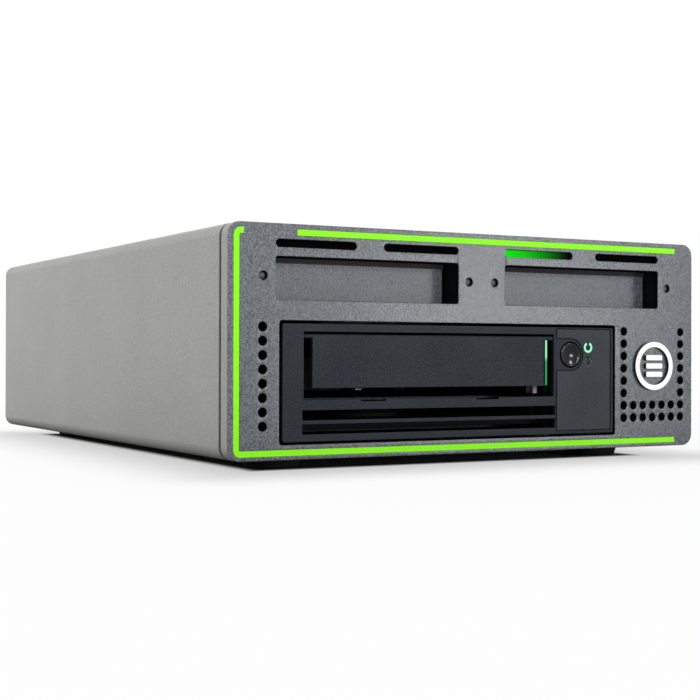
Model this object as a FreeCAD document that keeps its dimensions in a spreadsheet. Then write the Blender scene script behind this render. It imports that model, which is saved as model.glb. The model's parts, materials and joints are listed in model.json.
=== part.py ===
import FreeCAD, Part
import math
import operator
import os
import Sketcher
from FreeCAD import Placement, Rotation, Vector

# A desktop tape unit: a half-height tape drive and two small drive bays in a half-rack case.
# Millimetres. X runs to the right across the front, Y runs to the rear and Z runs up.
# The origin is the middle of the unit's footprint, on the surface that it stands on.
# Places named "across", "behind" and "above" are measured from the front panel's left edge,
# front face and bottom edge.

doc = FreeCAD.newDocument("DataTapeDrive")

sizes = {
    # case
    "panel_width": 210.9,
    "panel_height": 83.3,
    "panel_depth": 5.7,
    "panel_web": 3.0,
    "panel_rim": 2.6,
    "panel_corner": 4.8,
    "body_depth": 290.0,
    "shadow_gap": 1.7,
    "sleeve_wall": 1.5,
    "sleeve_edge": 0.5,
    "seat_gap": 0.1,
    "sheet": 1.2,
    "bend": 1.4,
    # openings in the front panel
    "drive_window_left": 19.85,
    "drive_window_width": 150.3,
    "drive_window_bottom": 5.25,
    "drive_window_height": 44.0,
    "window_corner": 1.1,
    "bay_window_width": 76.5,
    "bay_window_height": 15.4,
    "bay_window_bottom": 56.4,
    "bay_spacing": 97.7,
    "bay_screw_spacing": 86.0,
    "bay_screw_above": 64.8,
    "bay_screw_head": 2.9,
    "bay_screw_shank": 2.0,
    "bay_screw_head_height": 1.1,
    "bay_screw_length": 4.2,
    "bay_screw_web": 1.0,
    "bay_screw_clearance": 0.2,
    "slot_length": 32.5,
    "slot_width": 2.9,
    "slot_above": 76.4,
    "slot_outer_offset": 43.85,
    "vent_diameter": 3.4,
    "vent_pitch": 5.0,
    "vent_left_across": 13.4,
    "vent_grid_across": 174.7,
    "vent_bottom": 11.95,
    # stripe and badge
    "stripe_width": 2.15,
    "stripe_depth": 0.4,
    "stripe_side_inset": 2.25,
    "stripe_top_inset": 1.9,
    "stripe_bottom_inset": 1.45,
    "stripe_corner": 2.8,
    "stripe_inner_corner": 0.7,
    "stripe_leg_end": 6.15,
    "stripe_top_start": 26.85,
    "stripe_end": 201.4,
    "badge_across": 189.5,
    "badge_above": 32.9,
    "badge_diameter": 19.8,
    "badge_line": 2.2,
    "badge_rise": 1.5,
    "badge_bar_length": 8.6,
    "badge_bar_pitch": 3.4,
    # feet and their screws
    "foot_height": 4.7,
    "foot_diameter": 23.6,
    "foot_taper": 1.4,
    "foot_side_inset": 30.4,
    "foot_front_inset": 29.3,
    "foot_rear_inset": 33.0,
    "foot_recess": 2.6,
    "foot_recess_diameter": 9.0,
    "screw_shank": 3.0,
    "screw_head": 6.4,
    "screw_head_height": 1.9,
    "tip_clearance": 0.2,
    "case_screw_side_inset": 12.7,
    "case_screw_front_inset": 14.2,
    "case_screw_rear_inset": 9.0,
    "case_screw_head": 5.0,
    "case_screw_head_height": 0.9,
    # front frame, tray and rear panel
    "frame_thickness": 3.0,
    "frame_skirt": 10.0,
    "frame_skirt_wall": 1.5,
    "frame_margin": 1.2,
    "frame_vent_margin": 3.2,
    "frame_bar": 3.1,
    "tray_height": 20.0,
    "rear_sheet": 1.5,
    "rear_recess": 1.0,
    "rear_flange": 14.0,
    # bays
    "bay_side_room": 0.6,
    "bay_top_room": 0.3,
    "bay_length": 112.0,
    "bay_ear": 7.2,
    "bay_ear_lip": 1.8,
    "blank_recess": 9.0,
    "blank_sheet": 1.5,
    "blank_depth": 12.0,
    "blank_gap": 1.2,
    "blank_shift": 0.75,
    "blank_top_gap": 0.6,
    "blank_bend": 0.9,
    "backplane_thickness": 1.6,
    "bay_plug_width": 36.0,
    "bay_plug_height": 5.0,
    "bay_plug_depth": 8.0,
    # slot lights
    "guide_margin": 0.75,
    "guide_depth": 2.2,
    "lamp_length": 3.2,
    "lamp_height": 1.6,
    "lamp_depth": 0.8,
    "indicator_thickness": 1.6,
    "indicator_height": 5.8,
    # tape drive
    "drive_width": 146.0,
    "drive_height": 41.4,
    "drive_length": 199.0,
    "drive_across": 22.2,
    "drive_above": 6.5,
    "drive_wall": 2.2,
    "deck_above": 12.5,
    "deck_thickness": 2.5,
    "cover_sheet": 0.8,
    "cover_emboss": 0.4,
    "emboss_width": 96.0,
    "emboss_length": 76.0,
    "emboss_rear_length": 46.0,
    "emboss_front": 60.0,
    "emboss_corner": 4.0,
    "bezel_width": 148.0,
    "bezel_height": 42.0,
    "bezel_across": 21.2,
    "bezel_above": 6.2,
    "bezel_recess": 0.2,
    "bezel_depth": 9.0,
    "bezel_face": 2.0,
    "bezel_wall": 1.8,
    "bezel_corner": 0.9,
    "mouth_left": 29.6,
    "mouth_right": 139.6,
    "mouth_bottom": 21.05,
    "mouth_top": 45.35,
    "mouth_notch_depth": 0.75,
    "mouth_notch_left": 53.0,
    "mouth_notch_right": 103.2,
    "mouth_notch_width": 10.4,
    "grille_left": 29.1,
    "grille_right": 140.3,
    "grille_lower": 8.75,
    "grille_upper": 13.75,
    "grille_height": 3.6,
    "side_cover_left": 141.15,
    "side_cover_right": 167.65,
    "side_cover_bottom": 7.65,
    "side_cover_top": 47.35,
    "side_cover_depth": 0.8,
    "side_cover_gap": 0.4,
    "side_notch_reach": 154.15,
    "side_notch_bottom": 31.0,
    "side_notch_top": 43.95,
    "side_notch_round": 6.2,
    # door
    "door_left": 33.1,
    "door_right": 135.4,
    "door_bottom": 25.2,
    "door_thickness": 1.6,
    "door_inset": 0.15,
    "door_pin_above": 43.75,
    "door_pin_diameter": 0.8,
    "door_ear_gap": 0.3,
    "door_light_width": 1.1,
    "door_groove_width": 0.6,
    "door_groove_depth": 0.5,
    "door_light_bottom": 25.5,
    "door_light_top": 43.0,
    "pin_clearance": 0.05,
    # button and lights
    "button_across": 147.8,
    "button_above": 37.4,
    "button_diameter": 9.5,
    "button_hole": 10.4,
    "button_flange": 11.6,
    "button_flange_thickness": 1.0,
    "button_stem": 3.0,
    "button_dish": 0.7,
    "button_travel": 1.2,
    "button_slack": 0.15,
    "switch_width": 6.0,
    "switch_height": 2.0,
    "front_board_thickness": 1.6,
    "icon_across": 156.55,
    "power_icon_above": 40.3,
    "power_icon_diameter": 4.4,
    "fault_icon_above": 34.55,
    "fault_icon_diameter": 3.9,
    # cartridge loader
    "cartridge_width": 105.4,
    "cartridge_across": 84.6,
    "cartridge_room": 0.4,
    "cartridge_floor": 20.9,
    "carrier_front": 24.0,
    "carrier_length": 76.0,
    "carrier_sheet": 1.0,
    "carrier_lip": 3.0,
    "carrier_top": 44.0,
    "carrier_slot_front": 8.5,
    "carrier_slot_width": 52.0,
    "lift_pin_diameter": 2.4,
    "lift_pin_front": 14.0,
    "lift_pin_rear": 60.0,
    "lift_pin_above": 30.0,
    "lift_travel": 5.5,
    "loader_gap": 1.0,
    "loader_plate": 1.2,
    "loader_bottom": 15.0,
    "loader_top": 45.2,
    "loader_bridge": 8.0,
    "rail_gap": 0.4,
    "rail_wall": 2.0,
    "rail_height": 20.0,
    "rail_front": 18.0,
    "rail_length": 100.0,
    "lever_across": 138.9,
    "lever_behind": 14.0,
    "lever_above": 22.1,
    "lever_height": 3.0,
    "lever_reach": 7.9,
    "lever_rest": 27.0,
    "lever_width": 2.6,
    "lever_post": 2.4,
    # tape path
    "supply_behind": 63.0,
    "clutch_diameter": 35.0,
    "clutch_height": 2.0,
    "clutch_above": 14.4,
    "clutch_tooth": 1.2,
    "clutch_teeth": 24.0,
    "supply_motor_diameter": 37.0,
    "supply_motor_height": 1.6,
    "supply_shaft": 4.0,
    "reel_across": 95.0,
    "reel_behind": 171.0,
    "reel_diameter": 66.0,
    "reel_hub": 44.0,
    "reel_flange": 1.2,
    "reel_height": 16.0,
    "reel_above": 19.0,
    "reel_motor_diameter": 50.0,
    "reel_motor_height": 5.7,
    "reel_shaft": 6.0,
    "roller_behind": 128.0,
    "roller_diameter": 12.0,
    "roller_height": 15.0,
    "roller_above": 21.0,
    "roller_post": 3.0,
    "roller_first": 46.0,
    "roller_second": 72.0,
    "roller_third": 122.0,
    "roller_fourth": 148.0,
    "head_across": 97.0,
    "head_width": 30.0,
    "head_depth": 9.0,
    "head_height": 15.0,
    "head_above": 21.0,
    "head_post": 3.0,
    "head_post_spacing": 20.0,
    "head_travel": 3.0,
    "head_nose_width": 12.0,
    "head_nose_depth": 1.6,
    "head_nose_inset": 2.0,
    # drive fixings and boards
    "bracket_height": 30.0,
    "bracket_foot": 11.0,
    "bracket_front": 42.0,
    "bracket_length": 140.0,
    "side_screw_head": 5.4,
    "side_screw_head_height": 1.4,
    "side_screw_shank": 2.8,
    "side_screw_above": 16.5,
    "side_screw_front": 62.0,
    "side_screw_pitch": 100.0,
    "main_board_thickness": 1.6,
    "main_board_setback": 14.0,
    "board_gap": 0.5,
    "connector_across": 58.0,
    "connector_width": 34.0,
    "connector_height": 6.0,
    "connector_depth": 6.0,
    # power supply, mains inlet and switch
    "supply_width": 36.0,
    "supply_height": 60.0,
    "supply_length": 126.0,
    "supply_across": 171.0,
    "supply_rear_gap": 30.0,
    "supply_vent_inset": 15.0,
    "supply_vent_pitch": 6.0,
    "supply_vent_length": 26.0,
    "supply_vent_width": 2.4,
    "inlet_across": 188.0,
    "inlet_above": 33.0,
    "inlet_flange": 3.0,
    "inlet_flange_width": 23.0,
    "inlet_flange_height": 50.0,
    "inlet_flange_corner": 5.0,
    "inlet_body_width": 20.0,
    "inlet_body_height": 27.6,
    "inlet_body_depth": 19.0,
    "inlet_socket_width": 17.2,
    "inlet_socket_height": 24.6,
    "inlet_socket_depth": 16.0,
    "inlet_bevel": 4.0,
    "inlet_screw_spacing": 40.0,
    "inlet_pin_width": 4.0,
    "inlet_pin_thickness": 2.0,
    "inlet_pin_spacing": 14.0,
    "inlet_pin_length": 14.5,
    "inlet_pin_offset": 2.0,
    "rocker_above": 69.6,
    "rocker_bezel": 1.4,
    "rocker_bezel_width": 21.0,
    "rocker_bezel_height": 15.0,
    "rocker_body_width": 19.2,
    "rocker_body_height": 12.9,
    "rocker_body_depth": 13.0,
    "rocker_well_width": 17.0,
    "rocker_well_height": 10.6,
    "rocker_well_depth": 5.9,
    "rocker_pivot_inset": 1.2,
    "rocker_length": 15.8,
    "rocker_width": 9.8,
    "rocker_rise": 2.9,
    "rocker_dip": 2.2,
    "rocker_fall": 2.0,
    "rocker_trunnion": 1.8,
    "rocker_tilt": 7.0,
    # fan
    "fan_across": 44.0,
    "fan_above": 40.0,
    "fan_size": 60.0,
    "fan_thickness": 15.0,
    "fan_bore": 57.0,
    "fan_corner": 3.0,
    "fan_hole": 4.3,
    "fan_hole_spacing": 50.0,
    "fan_hub": 28.0,
    "fan_plate": 3.0,
    "fan_strut": 3.0,
    "fan_shaft": 3.0,
    "fan_blades": 7.0,
    "fan_tip_gap": 1.0,
    "fan_rotor_gap": 0.6,
    "fan_blade_thickness": 1.1,
    "grille_rings": 3.0,
    "grille_sectors": 6.0,
    "grille_slot": 4.2,
    "grille_web": 2.4,
    "grille_centre": 7.0,
    # interface board and ports
    "board_across": 84.0,
    "board_width": 80.0,
    "board_length": 62.0,
    "board_thickness": 1.6,
    "standoff_height": 5.0,
    "standoff_diameter": 5.6,
    "standoff_inset": 4.0,
    "sink_side": 28.0,
    "sink_height": 11.0,
    "sink_base": 2.0,
    "sink_fin": 1.2,
    "sink_gap": 2.15,
    "chip_height": 1.2,
    "usb_width": 8.94,
    "usb_height": 3.26,
    "usb_length": 9.0,
    "usb_wall": 0.35,
    "usb_pitch": 15.0,
    "usb_across": 94.0,
    "usb_tongue": 0.7,
    "port_across": 126.0,
    "port_width": 27.0,
    "port_height": 12.4,
    "port_length": 24.0,
    "port_wall": 0.8,
    "port_cavity": 17.0,
    "port_card": 1.0,
    "port_clearance": 0.25,
    "rear_vent_length": 26.0,
    "rear_vent_width": 2.6,
    "rear_vent_pitch": 5.2,
    "rear_vent_across": 86.0,
    "rear_vent_above": 34.0,
    # inner cables
    "cable_diameter": 3.2,
    "cable_bend": 10.0,
    "cable_above": 27.0,
    "cable_run": 22.0,
    "cable_plug_across": 125.0,
    "ribbon_width": 14.0,
    "ribbon_thickness": 0.9,
}

sheet = doc.addObject("Spreadsheet::Sheet", "Sizes")
for row, (alias, number) in enumerate(sizes.items(), 1):
    sheet.set(f"A{row}", alias)
    sheet.set(f"B{row}", str(number))
    sheet.setAlias(f"B{row}", alias)
doc.recompute()

operations = {"+": operator.add, "-": operator.sub, "*": operator.mul, "/": operator.truediv}


class Size:
    # A length with its formula in the sheet's cells, so that what it sets stays bound to them.
    def __init__(self, value, formula):
        self.value = value
        self.formula = formula

    def __add__(self, other):
        return worked(self, "+", other)

    def __radd__(self, other):
        return worked(other, "+", self)

    def __sub__(self, other):
        return worked(self, "-", other)

    def __rsub__(self, other):
        return worked(other, "-", self)

    def __mul__(self, other):
        return worked(self, "*", other)

    def __rmul__(self, other):
        return worked(other, "*", self)

    def __truediv__(self, other):
        return worked(self, "/", other)


def size(quantity):
    if isinstance(quantity, Size):
        return quantity
    return Size(float(quantity), repr(float(quantity)))


def worked(one, sign, other):
    one = size(one)
    other = size(other)
    value = operations[sign](one.value, other.value)
    return Size(value, f"({one.formula} {sign} {other.formula})")


class Sheet:
    # Reads a cell by its alias, as in cell.panel_width.
    def __getattr__(self, alias):
        return Size(sizes[alias], f"Sizes.{alias}")


cell = Sheet()


def bind(thing, name, quantity):
    thing.setExpression(name, size(quantity).formula)


# Sketch outlines. Each is a function that draws itself with a pen and is fully constrained.

class Pen:
    # Draws in a sketch, and gathers its constraints so that they are solved together.
    def __init__(self, sketch):
        self.sketch = sketch
        self.rules = []
        self.bound = []

    def line(self, start, end):
        return self.sketch.addGeometry(Part.LineSegment(start, end))

    def arc(self, centre, radius, start, end):
        around = Part.Circle(centre, Vector(0, 0, 1), radius)
        return self.sketch.addGeometry(Part.ArcOfCircle(around, start, end))

    def rule(self, kind, *target):
        self.rules.append(Sketcher.Constraint(kind, *target))

    def hold(self, kind, target, quantity):
        self.bound.append((len(self.rules), size(quantity).formula))
        self.rule(kind, *target, size(quantity).value)

    def finish(self):
        first = self.sketch.ConstraintCount
        self.sketch.addConstraint(self.rules)
        for index, formula in self.bound:
            self.sketch.setExpression(f"Constraints[{first + index}]", formula)


def outline(*corners):
    # Level and upright lines from corner to corner; a third value rounds the corner.
    def draw(pen):
        count = len(corners)
        place = [Vector(size(corner[0]).value, size(corner[1]).value) for corner in corners]
        radius = [size(corner[2]).value if len(corner) > 2 else 0 for corner in corners]
        heading = [(place[(i + 1) % count] - place[i]).normalize() for i in range(count)]
        lines = []
        for i in range(count):
            start = place[i] + heading[i] * radius[i]
            end = place[(i + 1) % count] - heading[i] * radius[(i + 1) % count]
            lines.append(pen.line(start, end))
        for i, line in enumerate(lines):
            level = abs(heading[i].y) < abs(heading[i].x)
            pen.rule("Horizontal" if level else "Vertical", line)
            pen.hold("DistanceY" if level else "DistanceX", (-1, 1, line, 1), corners[i][level])
            if radius[i] == 0:
                pen.rule("Coincident", lines[i - 1], 2, line, 1)
                continue
            centre = place[i] + (heading[i] - heading[i - 1]) * radius[i]
            entry = place[i] - heading[i - 1] * radius[i] - centre
            leave = place[i] + heading[i] * radius[i] - centre
            left_turn = heading[i - 1].cross(heading[i]).z > 0
            first, last = (entry, leave) if left_turn else (leave, entry)
            start = math.atan2(first.y, first.x)
            sweep = (math.atan2(last.y, last.x) - start) % (2 * math.pi)
            arc = pen.arc(centre, radius[i], start, start + sweep)
            near, far = (1, 2) if left_turn else (2, 1)
            pen.rule("Tangent", lines[i - 1], 2, arc, near)
            pen.rule("Tangent", arc, far, line, 1)
            pen.hold("Radius", (arc,), corners[i][2])
    return draw


def rect(x0, x1, y0, y1, radius=None):
    corners = [(x0, y0), (x1, y0), (x1, y1), (x0, y1)]
    if radius is not None:
        corners = [corner + (radius,) for corner in corners]
    return outline(*corners)


def centred(x, y, width, height, radius=None):
    return rect(x - width / 2, x + width / 2, y - height / 2, y + height / 2, radius)


def polygon(*points):
    # Straight lines from point to point, at any slant.
    def draw(pen):
        count = len(points)
        place = [Vector(size(x).value, size(y).value) for x, y in points]
        lines = [pen.line(place[i], place[(i + 1) % count]) for i in range(count)]
        for i, line in enumerate(lines):
            pen.rule("Coincident", lines[i - 1], 2, line, 1)
            pen.hold("DistanceX", (-1, 1, line, 1), points[i][0])
            pen.hold("DistanceY", (-1, 1, line, 1), points[i][1])
    return draw


def circle(x, y, diameter):
    def draw(pen):
        centre = Vector(size(x).value, size(y).value)
        around = Part.Circle(centre, Vector(0, 0, 1), size(diameter).value / 2)
        ring = pen.sketch.addGeometry(around)
        pen.hold("DistanceX", (-1, 1, ring, 3), x)
        pen.hold("DistanceY", (-1, 1, ring, 3), y)
        pen.hold("Diameter", (ring,), diameter)
    return draw


def obround(x0, x1, y, width):
    # A level slot with round ends, from end to end.
    def draw(pen):
        radius = size(width).value / 2
        low = size(x0).value + radius
        high = size(x1).value - radius
        middle = size(y).value
        top = pen.line(Vector(high, middle + radius), Vector(low, middle + radius))
        west = pen.arc(Vector(low, middle), radius, math.pi / 2, 3 * math.pi / 2)
        bottom = pen.line(Vector(low, middle - radius), Vector(high, middle - radius))
        east = pen.arc(Vector(high, middle), radius, -math.pi / 2, math.pi / 2)
        pen.rule("Tangent", top, 2, west, 1)
        pen.rule("Tangent", west, 2, bottom, 1)
        pen.rule("Tangent", bottom, 2, east, 1)
        pen.rule("Tangent", east, 2, top, 1)
        pen.rule("Horizontal", top)
        pen.rule("Horizontal", bottom)
        pen.hold("Radius", (west,), width / 2)
        pen.hold("DistanceX", (-1, 1, west, 3), x0 + width / 2)
        pen.hold("DistanceX", (-1, 1, east, 3), x1 - width / 2)
        pen.hold("DistanceY", (-1, 1, west, 3), y)
    return draw


def sector(inner, outer, start, end):
    # Part of a ring about the sketch's origin, between two angles in degrees.
    def draw(pen):
        angles = (math.radians(start), math.radians(end))
        far = pen.arc(Vector(), outer.value, *angles)
        near = pen.arc(Vector(), inner.value, *angles)
        pen.rule("Coincident", far, 3, -1, 1)
        pen.rule("Coincident", near, 3, -1, 1)
        for end_point, angle in enumerate(angles, 1):
            ray = Vector(math.cos(angle), math.sin(angle))
            side = pen.line(ray * inner.value, ray * outer.value)
            pen.rule("Coincident", side, 1, near, end_point)
            pen.rule("Coincident", side, 2, far, end_point)
            pen.rule("PointOnObject", -1, 1, side)
            pen.rule("Angle", side, angle)
        pen.hold("Radius", (far,), outer)
        pen.hold("Radius", (near,), inner)
    return draw


# Features. An axis is named by the direction that the outline is carried along.

planes = {"X": ("YZ_Plane", 1), "Y": ("XZ_Plane", -1), "Z": ("XY_Plane", 1)}
made = []


def new_body(label):
    body = doc.addObject("PartDesign::Body", label)
    body.Label = label
    made.append(body)
    return body


def draw_on(body, axis, place, loops, centre=None):
    sketch = body.newObject("Sketcher::SketchObject", "Sketch")
    role, sign = planes[axis]
    plane = next(part for part in body.Origin.OriginFeatures if part.Role == role)
    sketch.AttachmentSupport = [(plane, "")]
    sketch.MapMode = "FlatFace"
    bind(sketch, "AttachmentOffset.Base.z", place * sign)
    if centre is not None:
        bind(sketch, "AttachmentOffset.Base.x", centre[0])
        bind(sketch, "AttachmentOffset.Base.y", centre[1])
    pen = Pen(sketch)
    for loop in loops:
        loop(pen)
    pen.finish()
    return sketch


def pad(body, axis, low, high, *loops, centre=None):
    sketch = draw_on(body, axis, size(low if planes[axis][1] > 0 else high), loops, centre)
    feature = body.newObject("PartDesign::Pad", "Pad")
    feature.Profile = sketch
    bind(feature, "Length", size(high) - low)
    return feature


def pocket(body, axis, low, high, *loops, centre=None):
    sketch = draw_on(body, axis, size(high if planes[axis][1] > 0 else low), loops, centre)
    feature = body.newObject("PartDesign::Pocket", "Pocket")
    feature.Profile = sketch
    bind(feature, "Length", size(high) - low)
    return feature


def turn(body, *points):
    # Revolves an outline of (radius, height) points about the body's own Z axis.
    sketch = draw_on(body, "Y", size(0), [polygon(*points)])
    feature = body.newObject("PartDesign::Revolution", "Revolution")
    feature.Profile = sketch
    feature.ReferenceAxis = (sketch, ["V_Axis"])
    feature.Angle = 360
    return feature


def repeat_round(body, feature, count, about_body=False):
    # Turns about the feature's own sketch origin, or about the body's Z axis.
    pattern = body.newObject("PartDesign::PolarPattern", "PolarPattern")
    pattern.Originals = [feature]
    pattern.Axis = (feature.Profile[0], ["N_Axis"])
    if about_body:
        z_axis = next(part for part in body.Origin.OriginFeatures if part.Role == "Z_Axis")
        pattern.Axis = (z_axis, [""])
    pattern.Angle = 360
    bind(pattern, "Occurrences", count)
    body.Tip = pattern
    return pattern


def round_edges(body, radius, wanted):
    doc.recompute()
    base = body.Tip
    names = [f"Edge{i}" for i, edge in enumerate(base.Shape.Edges, 1) if wanted(edge.BoundBox)]
    feature = body.newObject("PartDesign::Fillet", "Fillet")
    feature.Base = (base, names)
    bind(feature, "Radius", radius)
    return feature


def at_depth(place):
    return lambda box: abs(box.YMin - place.value) < 0.01 and abs(box.YMax - place.value) < 0.01


def place_body(part, x, y, z, turned=None):
    if turned is not None:
        part.Placement = Placement(Vector(), turned)
    bind(part, "Placement.Base.x", x)
    bind(part, "Placement.Base.y", y)
    bind(part, "Placement.Base.z", z)


def spread(label, pattern, places):
    # One sub-part of several solids: linked copies of a pattern piece, each place with its turn.
    if pattern in made:
        made.remove(pattern)
    copies = []
    for x, y, z, turned in places:
        copy = doc.addObject("App::Link", f"{label}_copy")
        copy.LinkedObject = pattern
        place_body(copy, x, y, z, turned)
        copies.append(copy)
    return gather(label, copies)


def gather(label, parts):
    # One sub-part of several solids that lie where they are.
    group = doc.addObject("Part::Compound", label)
    group.Label = label
    group.Links = parts
    for part in parts:
        if part in made:
            made.remove(part)
    made.append(group)
    return group


to_front = Rotation(Vector(1, 0, 0), 90)
to_rear = Rotation(Vector(1, 0, 0), -90)
to_right = Rotation(Vector(0, 1, 0), 90)
to_left = Rotation(Vector(0, 1, 0), -90)

# Reference places

left = cell.panel_width / -2
base = cell.foot_height
rear_rise = cell.inlet_flange - cell.rear_recess
front = (cell.badge_rise - cell.body_depth - rear_rise) / 2


def across(place):
    return left + place


def behind(place):
    return front + place


def above(place):
    return base + place


rear = behind(cell.body_depth)
rear_face = rear - cell.rear_recess
rear_inner = rear_face - cell.rear_sheet
panel_back = behind(cell.panel_depth)
web_back = behind(cell.panel_web)
sleeve_front = panel_back + cell.shadow_gap
frame_back = panel_back + cell.frame_thickness
skirt_back = frame_back + cell.frame_skirt
sleeve_floor = above(cell.sleeve_wall)
tray_top = sleeve_floor + cell.sheet
liner_inset = cell.sleeve_wall + cell.seat_gap
bay_centres = [across(cell.panel_width / 2 + side * cell.bay_spacing / 2) for side in (-1, 1)]
bay_middle = above(cell.bay_window_bottom + cell.bay_window_height / 2)
foot_xs = [across(cell.foot_side_inset), across(cell.panel_width - cell.foot_side_inset)]
foot_ys = [behind(cell.foot_front_inset), rear - cell.foot_rear_inset]
case_screw_xs = [across(cell.case_screw_side_inset),
                 across(cell.panel_width - cell.case_screw_side_inset)]
case_screw_ys = [behind(cell.case_screw_front_inset), rear - cell.case_screw_rear_inset]


def case_rect(inset):
    # The case's outline as seen from the front, drawn in by an inset.
    return rect(across(inset), across(cell.panel_width - inset),
                above(inset), above(cell.panel_height - inset), cell.panel_corner - inset)


# Front panel

slot_starts = [centre + side * cell.slot_outer_offset / 2 - cell.slot_length / 2
               for centre in bay_centres for side in (-1, 1)]
slot_middle = above(cell.slot_above)
vent_rows = 8
vent_columns = 7
vent_floor = above(cell.vent_bottom)
vent_column = across(cell.vent_left_across)
vent_grid = across(cell.vent_grid_across)
vent_grid_end = vent_grid + cell.vent_pitch * (vent_columns - 1)


def stripe_loops():
    outer_left = across(cell.stripe_side_inset)
    inner_left = outer_left + cell.stripe_width
    outer_top = above(cell.panel_height - cell.stripe_top_inset)
    inner_top = outer_top - cell.stripe_width
    outer_bottom = above(cell.stripe_bottom_inset)
    inner_bottom = outer_bottom + cell.stripe_width
    leg_end = across(cell.stripe_leg_end)
    end = across(cell.stripe_end)
    wrap = outline((leg_end, outer_top),
                   (outer_left, outer_top, cell.stripe_corner),
                   (outer_left, outer_bottom, cell.stripe_corner),
                   (end, outer_bottom),
                   (end, inner_bottom),
                   (inner_left, inner_bottom, cell.stripe_inner_corner),
                   (inner_left, inner_top, cell.stripe_inner_corner),
                   (leg_end, inner_top))
    return wrap, rect(across(cell.stripe_top_start), end, inner_top, outer_top)


def vent_places():
    # The left column, then a grid whose upper rows keep only their first and last holes.
    for row in range(vent_rows):
        height = vent_floor + cell.vent_pitch * row
        yield vent_column, height
        for column in range(vent_columns):
            if row < 2 or column in (0, vent_columns - 1):
                yield vent_grid + cell.vent_pitch * column, height


bay_screw_places = [(centre + side * cell.bay_screw_spacing / 2, above(cell.bay_screw_above))
                    for centre in bay_centres for side in (-1, 1)]

panel = new_body("front_panel")
pad(panel, "Y", front, panel_back, case_rect(0))
pocket(panel, "Y", web_back, panel_back, case_rect(cell.panel_rim))
drive_window = rect(across(cell.drive_window_left),
                    across(cell.drive_window_left + cell.drive_window_width),
                    above(cell.drive_window_bottom),
                    above(cell.drive_window_bottom + cell.drive_window_height),
                    cell.window_corner)
pocket(panel, "Y", front, web_back,
       drive_window,
       *[centred(centre, bay_middle, cell.bay_window_width, cell.bay_window_height,
                 cell.window_corner) for centre in bay_centres],
       *[obround(start, start + cell.slot_length, slot_middle, cell.slot_width)
         for start in slot_starts])
pocket(panel, "Y", front, web_back,
       *[circle(x, z, cell.vent_diameter) for x, z in vent_places()])
screw_seat = behind(cell.panel_web - cell.bay_screw_web)
pocket(panel, "Y", front, screw_seat,
       *[circle(x, z, cell.bay_screw_head + 2 * cell.bay_screw_clearance)
         for x, z in bay_screw_places])
pocket(panel, "Y", screw_seat, web_back,
       *[circle(x, z, cell.bay_screw_shank + cell.bay_screw_clearance)
         for x, z in bay_screw_places])
pocket(panel, "Y", front, behind(cell.stripe_depth), *stripe_loops())

stripe = new_body("accent_stripe")
pad(stripe, "Y", front, behind(cell.stripe_depth), *stripe_loops())

# The badge: a raised ring about three bars, each a solid of its own on the panel's face.
badge = new_body("front_badge")
badge_x = across(cell.badge_across)
badge_z = above(cell.badge_above)
pad(badge, "Y", front - cell.badge_rise, front,
    circle(badge_x, badge_z, cell.badge_diameter),
    circle(badge_x, badge_z, cell.badge_diameter - 2 * cell.badge_line))
pad(badge, "Y", front - cell.badge_rise, front,
    *[centred(badge_x, badge_z + step * cell.badge_bar_pitch, cell.badge_bar_length,
              cell.badge_line, cell.badge_line / 4) for step in (-1, 0, 1)])

# Case sleeve, a closed tube behind the front panel's shadow gap

sleeve = new_body("outer_sleeve")
pad(sleeve, "Y", sleeve_front, rear, case_rect(0), case_rect(cell.sleeve_wall))
pocket(sleeve, "Z", base, sleeve_floor,
       *[circle(x, y, cell.screw_shank + 2 * cell.pin_clearance)
         for x in foot_xs + case_screw_xs
         for y in (foot_ys if x in foot_xs else case_screw_ys)])
round_edges(sleeve, cell.sleeve_edge,
            lambda box: (at_depth(sleeve_front)(box) or at_depth(rear)(box)) and
            (box.XMin < left.value + 0.1 or box.XMax > -left.value - 0.1 or
             box.ZMin < base.value + 0.1 or
             box.ZMax > base.value + sizes["panel_height"] - 0.1))

# Front frame: the dark plate in the shadow gap, with a skirt inside the sleeve

frame = new_body("front_frame")
frame_wall = cell.frame_skirt_wall
bays_floor = above(cell.bay_window_bottom) - cell.frame_bar
bay_reach = bay_centres[1] + cell.bay_screw_spacing / 2 + cell.frame_vent_margin
pad(frame, "Y", panel_back, frame_back,
    case_rect(liner_inset),
    *[rect(low - cell.frame_vent_margin, high + cell.frame_vent_margin,
           vent_floor - cell.frame_vent_margin, bays_floor - cell.frame_bar)
      for low, high in ((vent_column, vent_column), (vent_grid, vent_grid_end))],
    rect(across(cell.bezel_across) - cell.frame_margin,
         across(cell.bezel_across + cell.bezel_width) + cell.frame_margin,
         above(cell.bezel_above) - cell.frame_margin,
         above(cell.bezel_above + cell.bezel_height) + cell.frame_margin),
    rect(0 - bay_reach, bay_reach, bays_floor,
         slot_middle + cell.indicator_height / 2 + cell.seat_gap))
pad(frame, "Y", frame_back, skirt_back, case_rect(liner_inset), case_rect(liner_inset + frame_wall))
pocket(frame, "Z", sleeve_floor + cell.seat_gap, sleeve_floor + cell.seat_gap + frame_wall,
       *[circle(x, case_screw_ys[0], cell.screw_shank + 2 * cell.pin_clearance)
         for x in case_screw_xs])

# Tray: a folded sheet on the sleeve's floor

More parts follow.
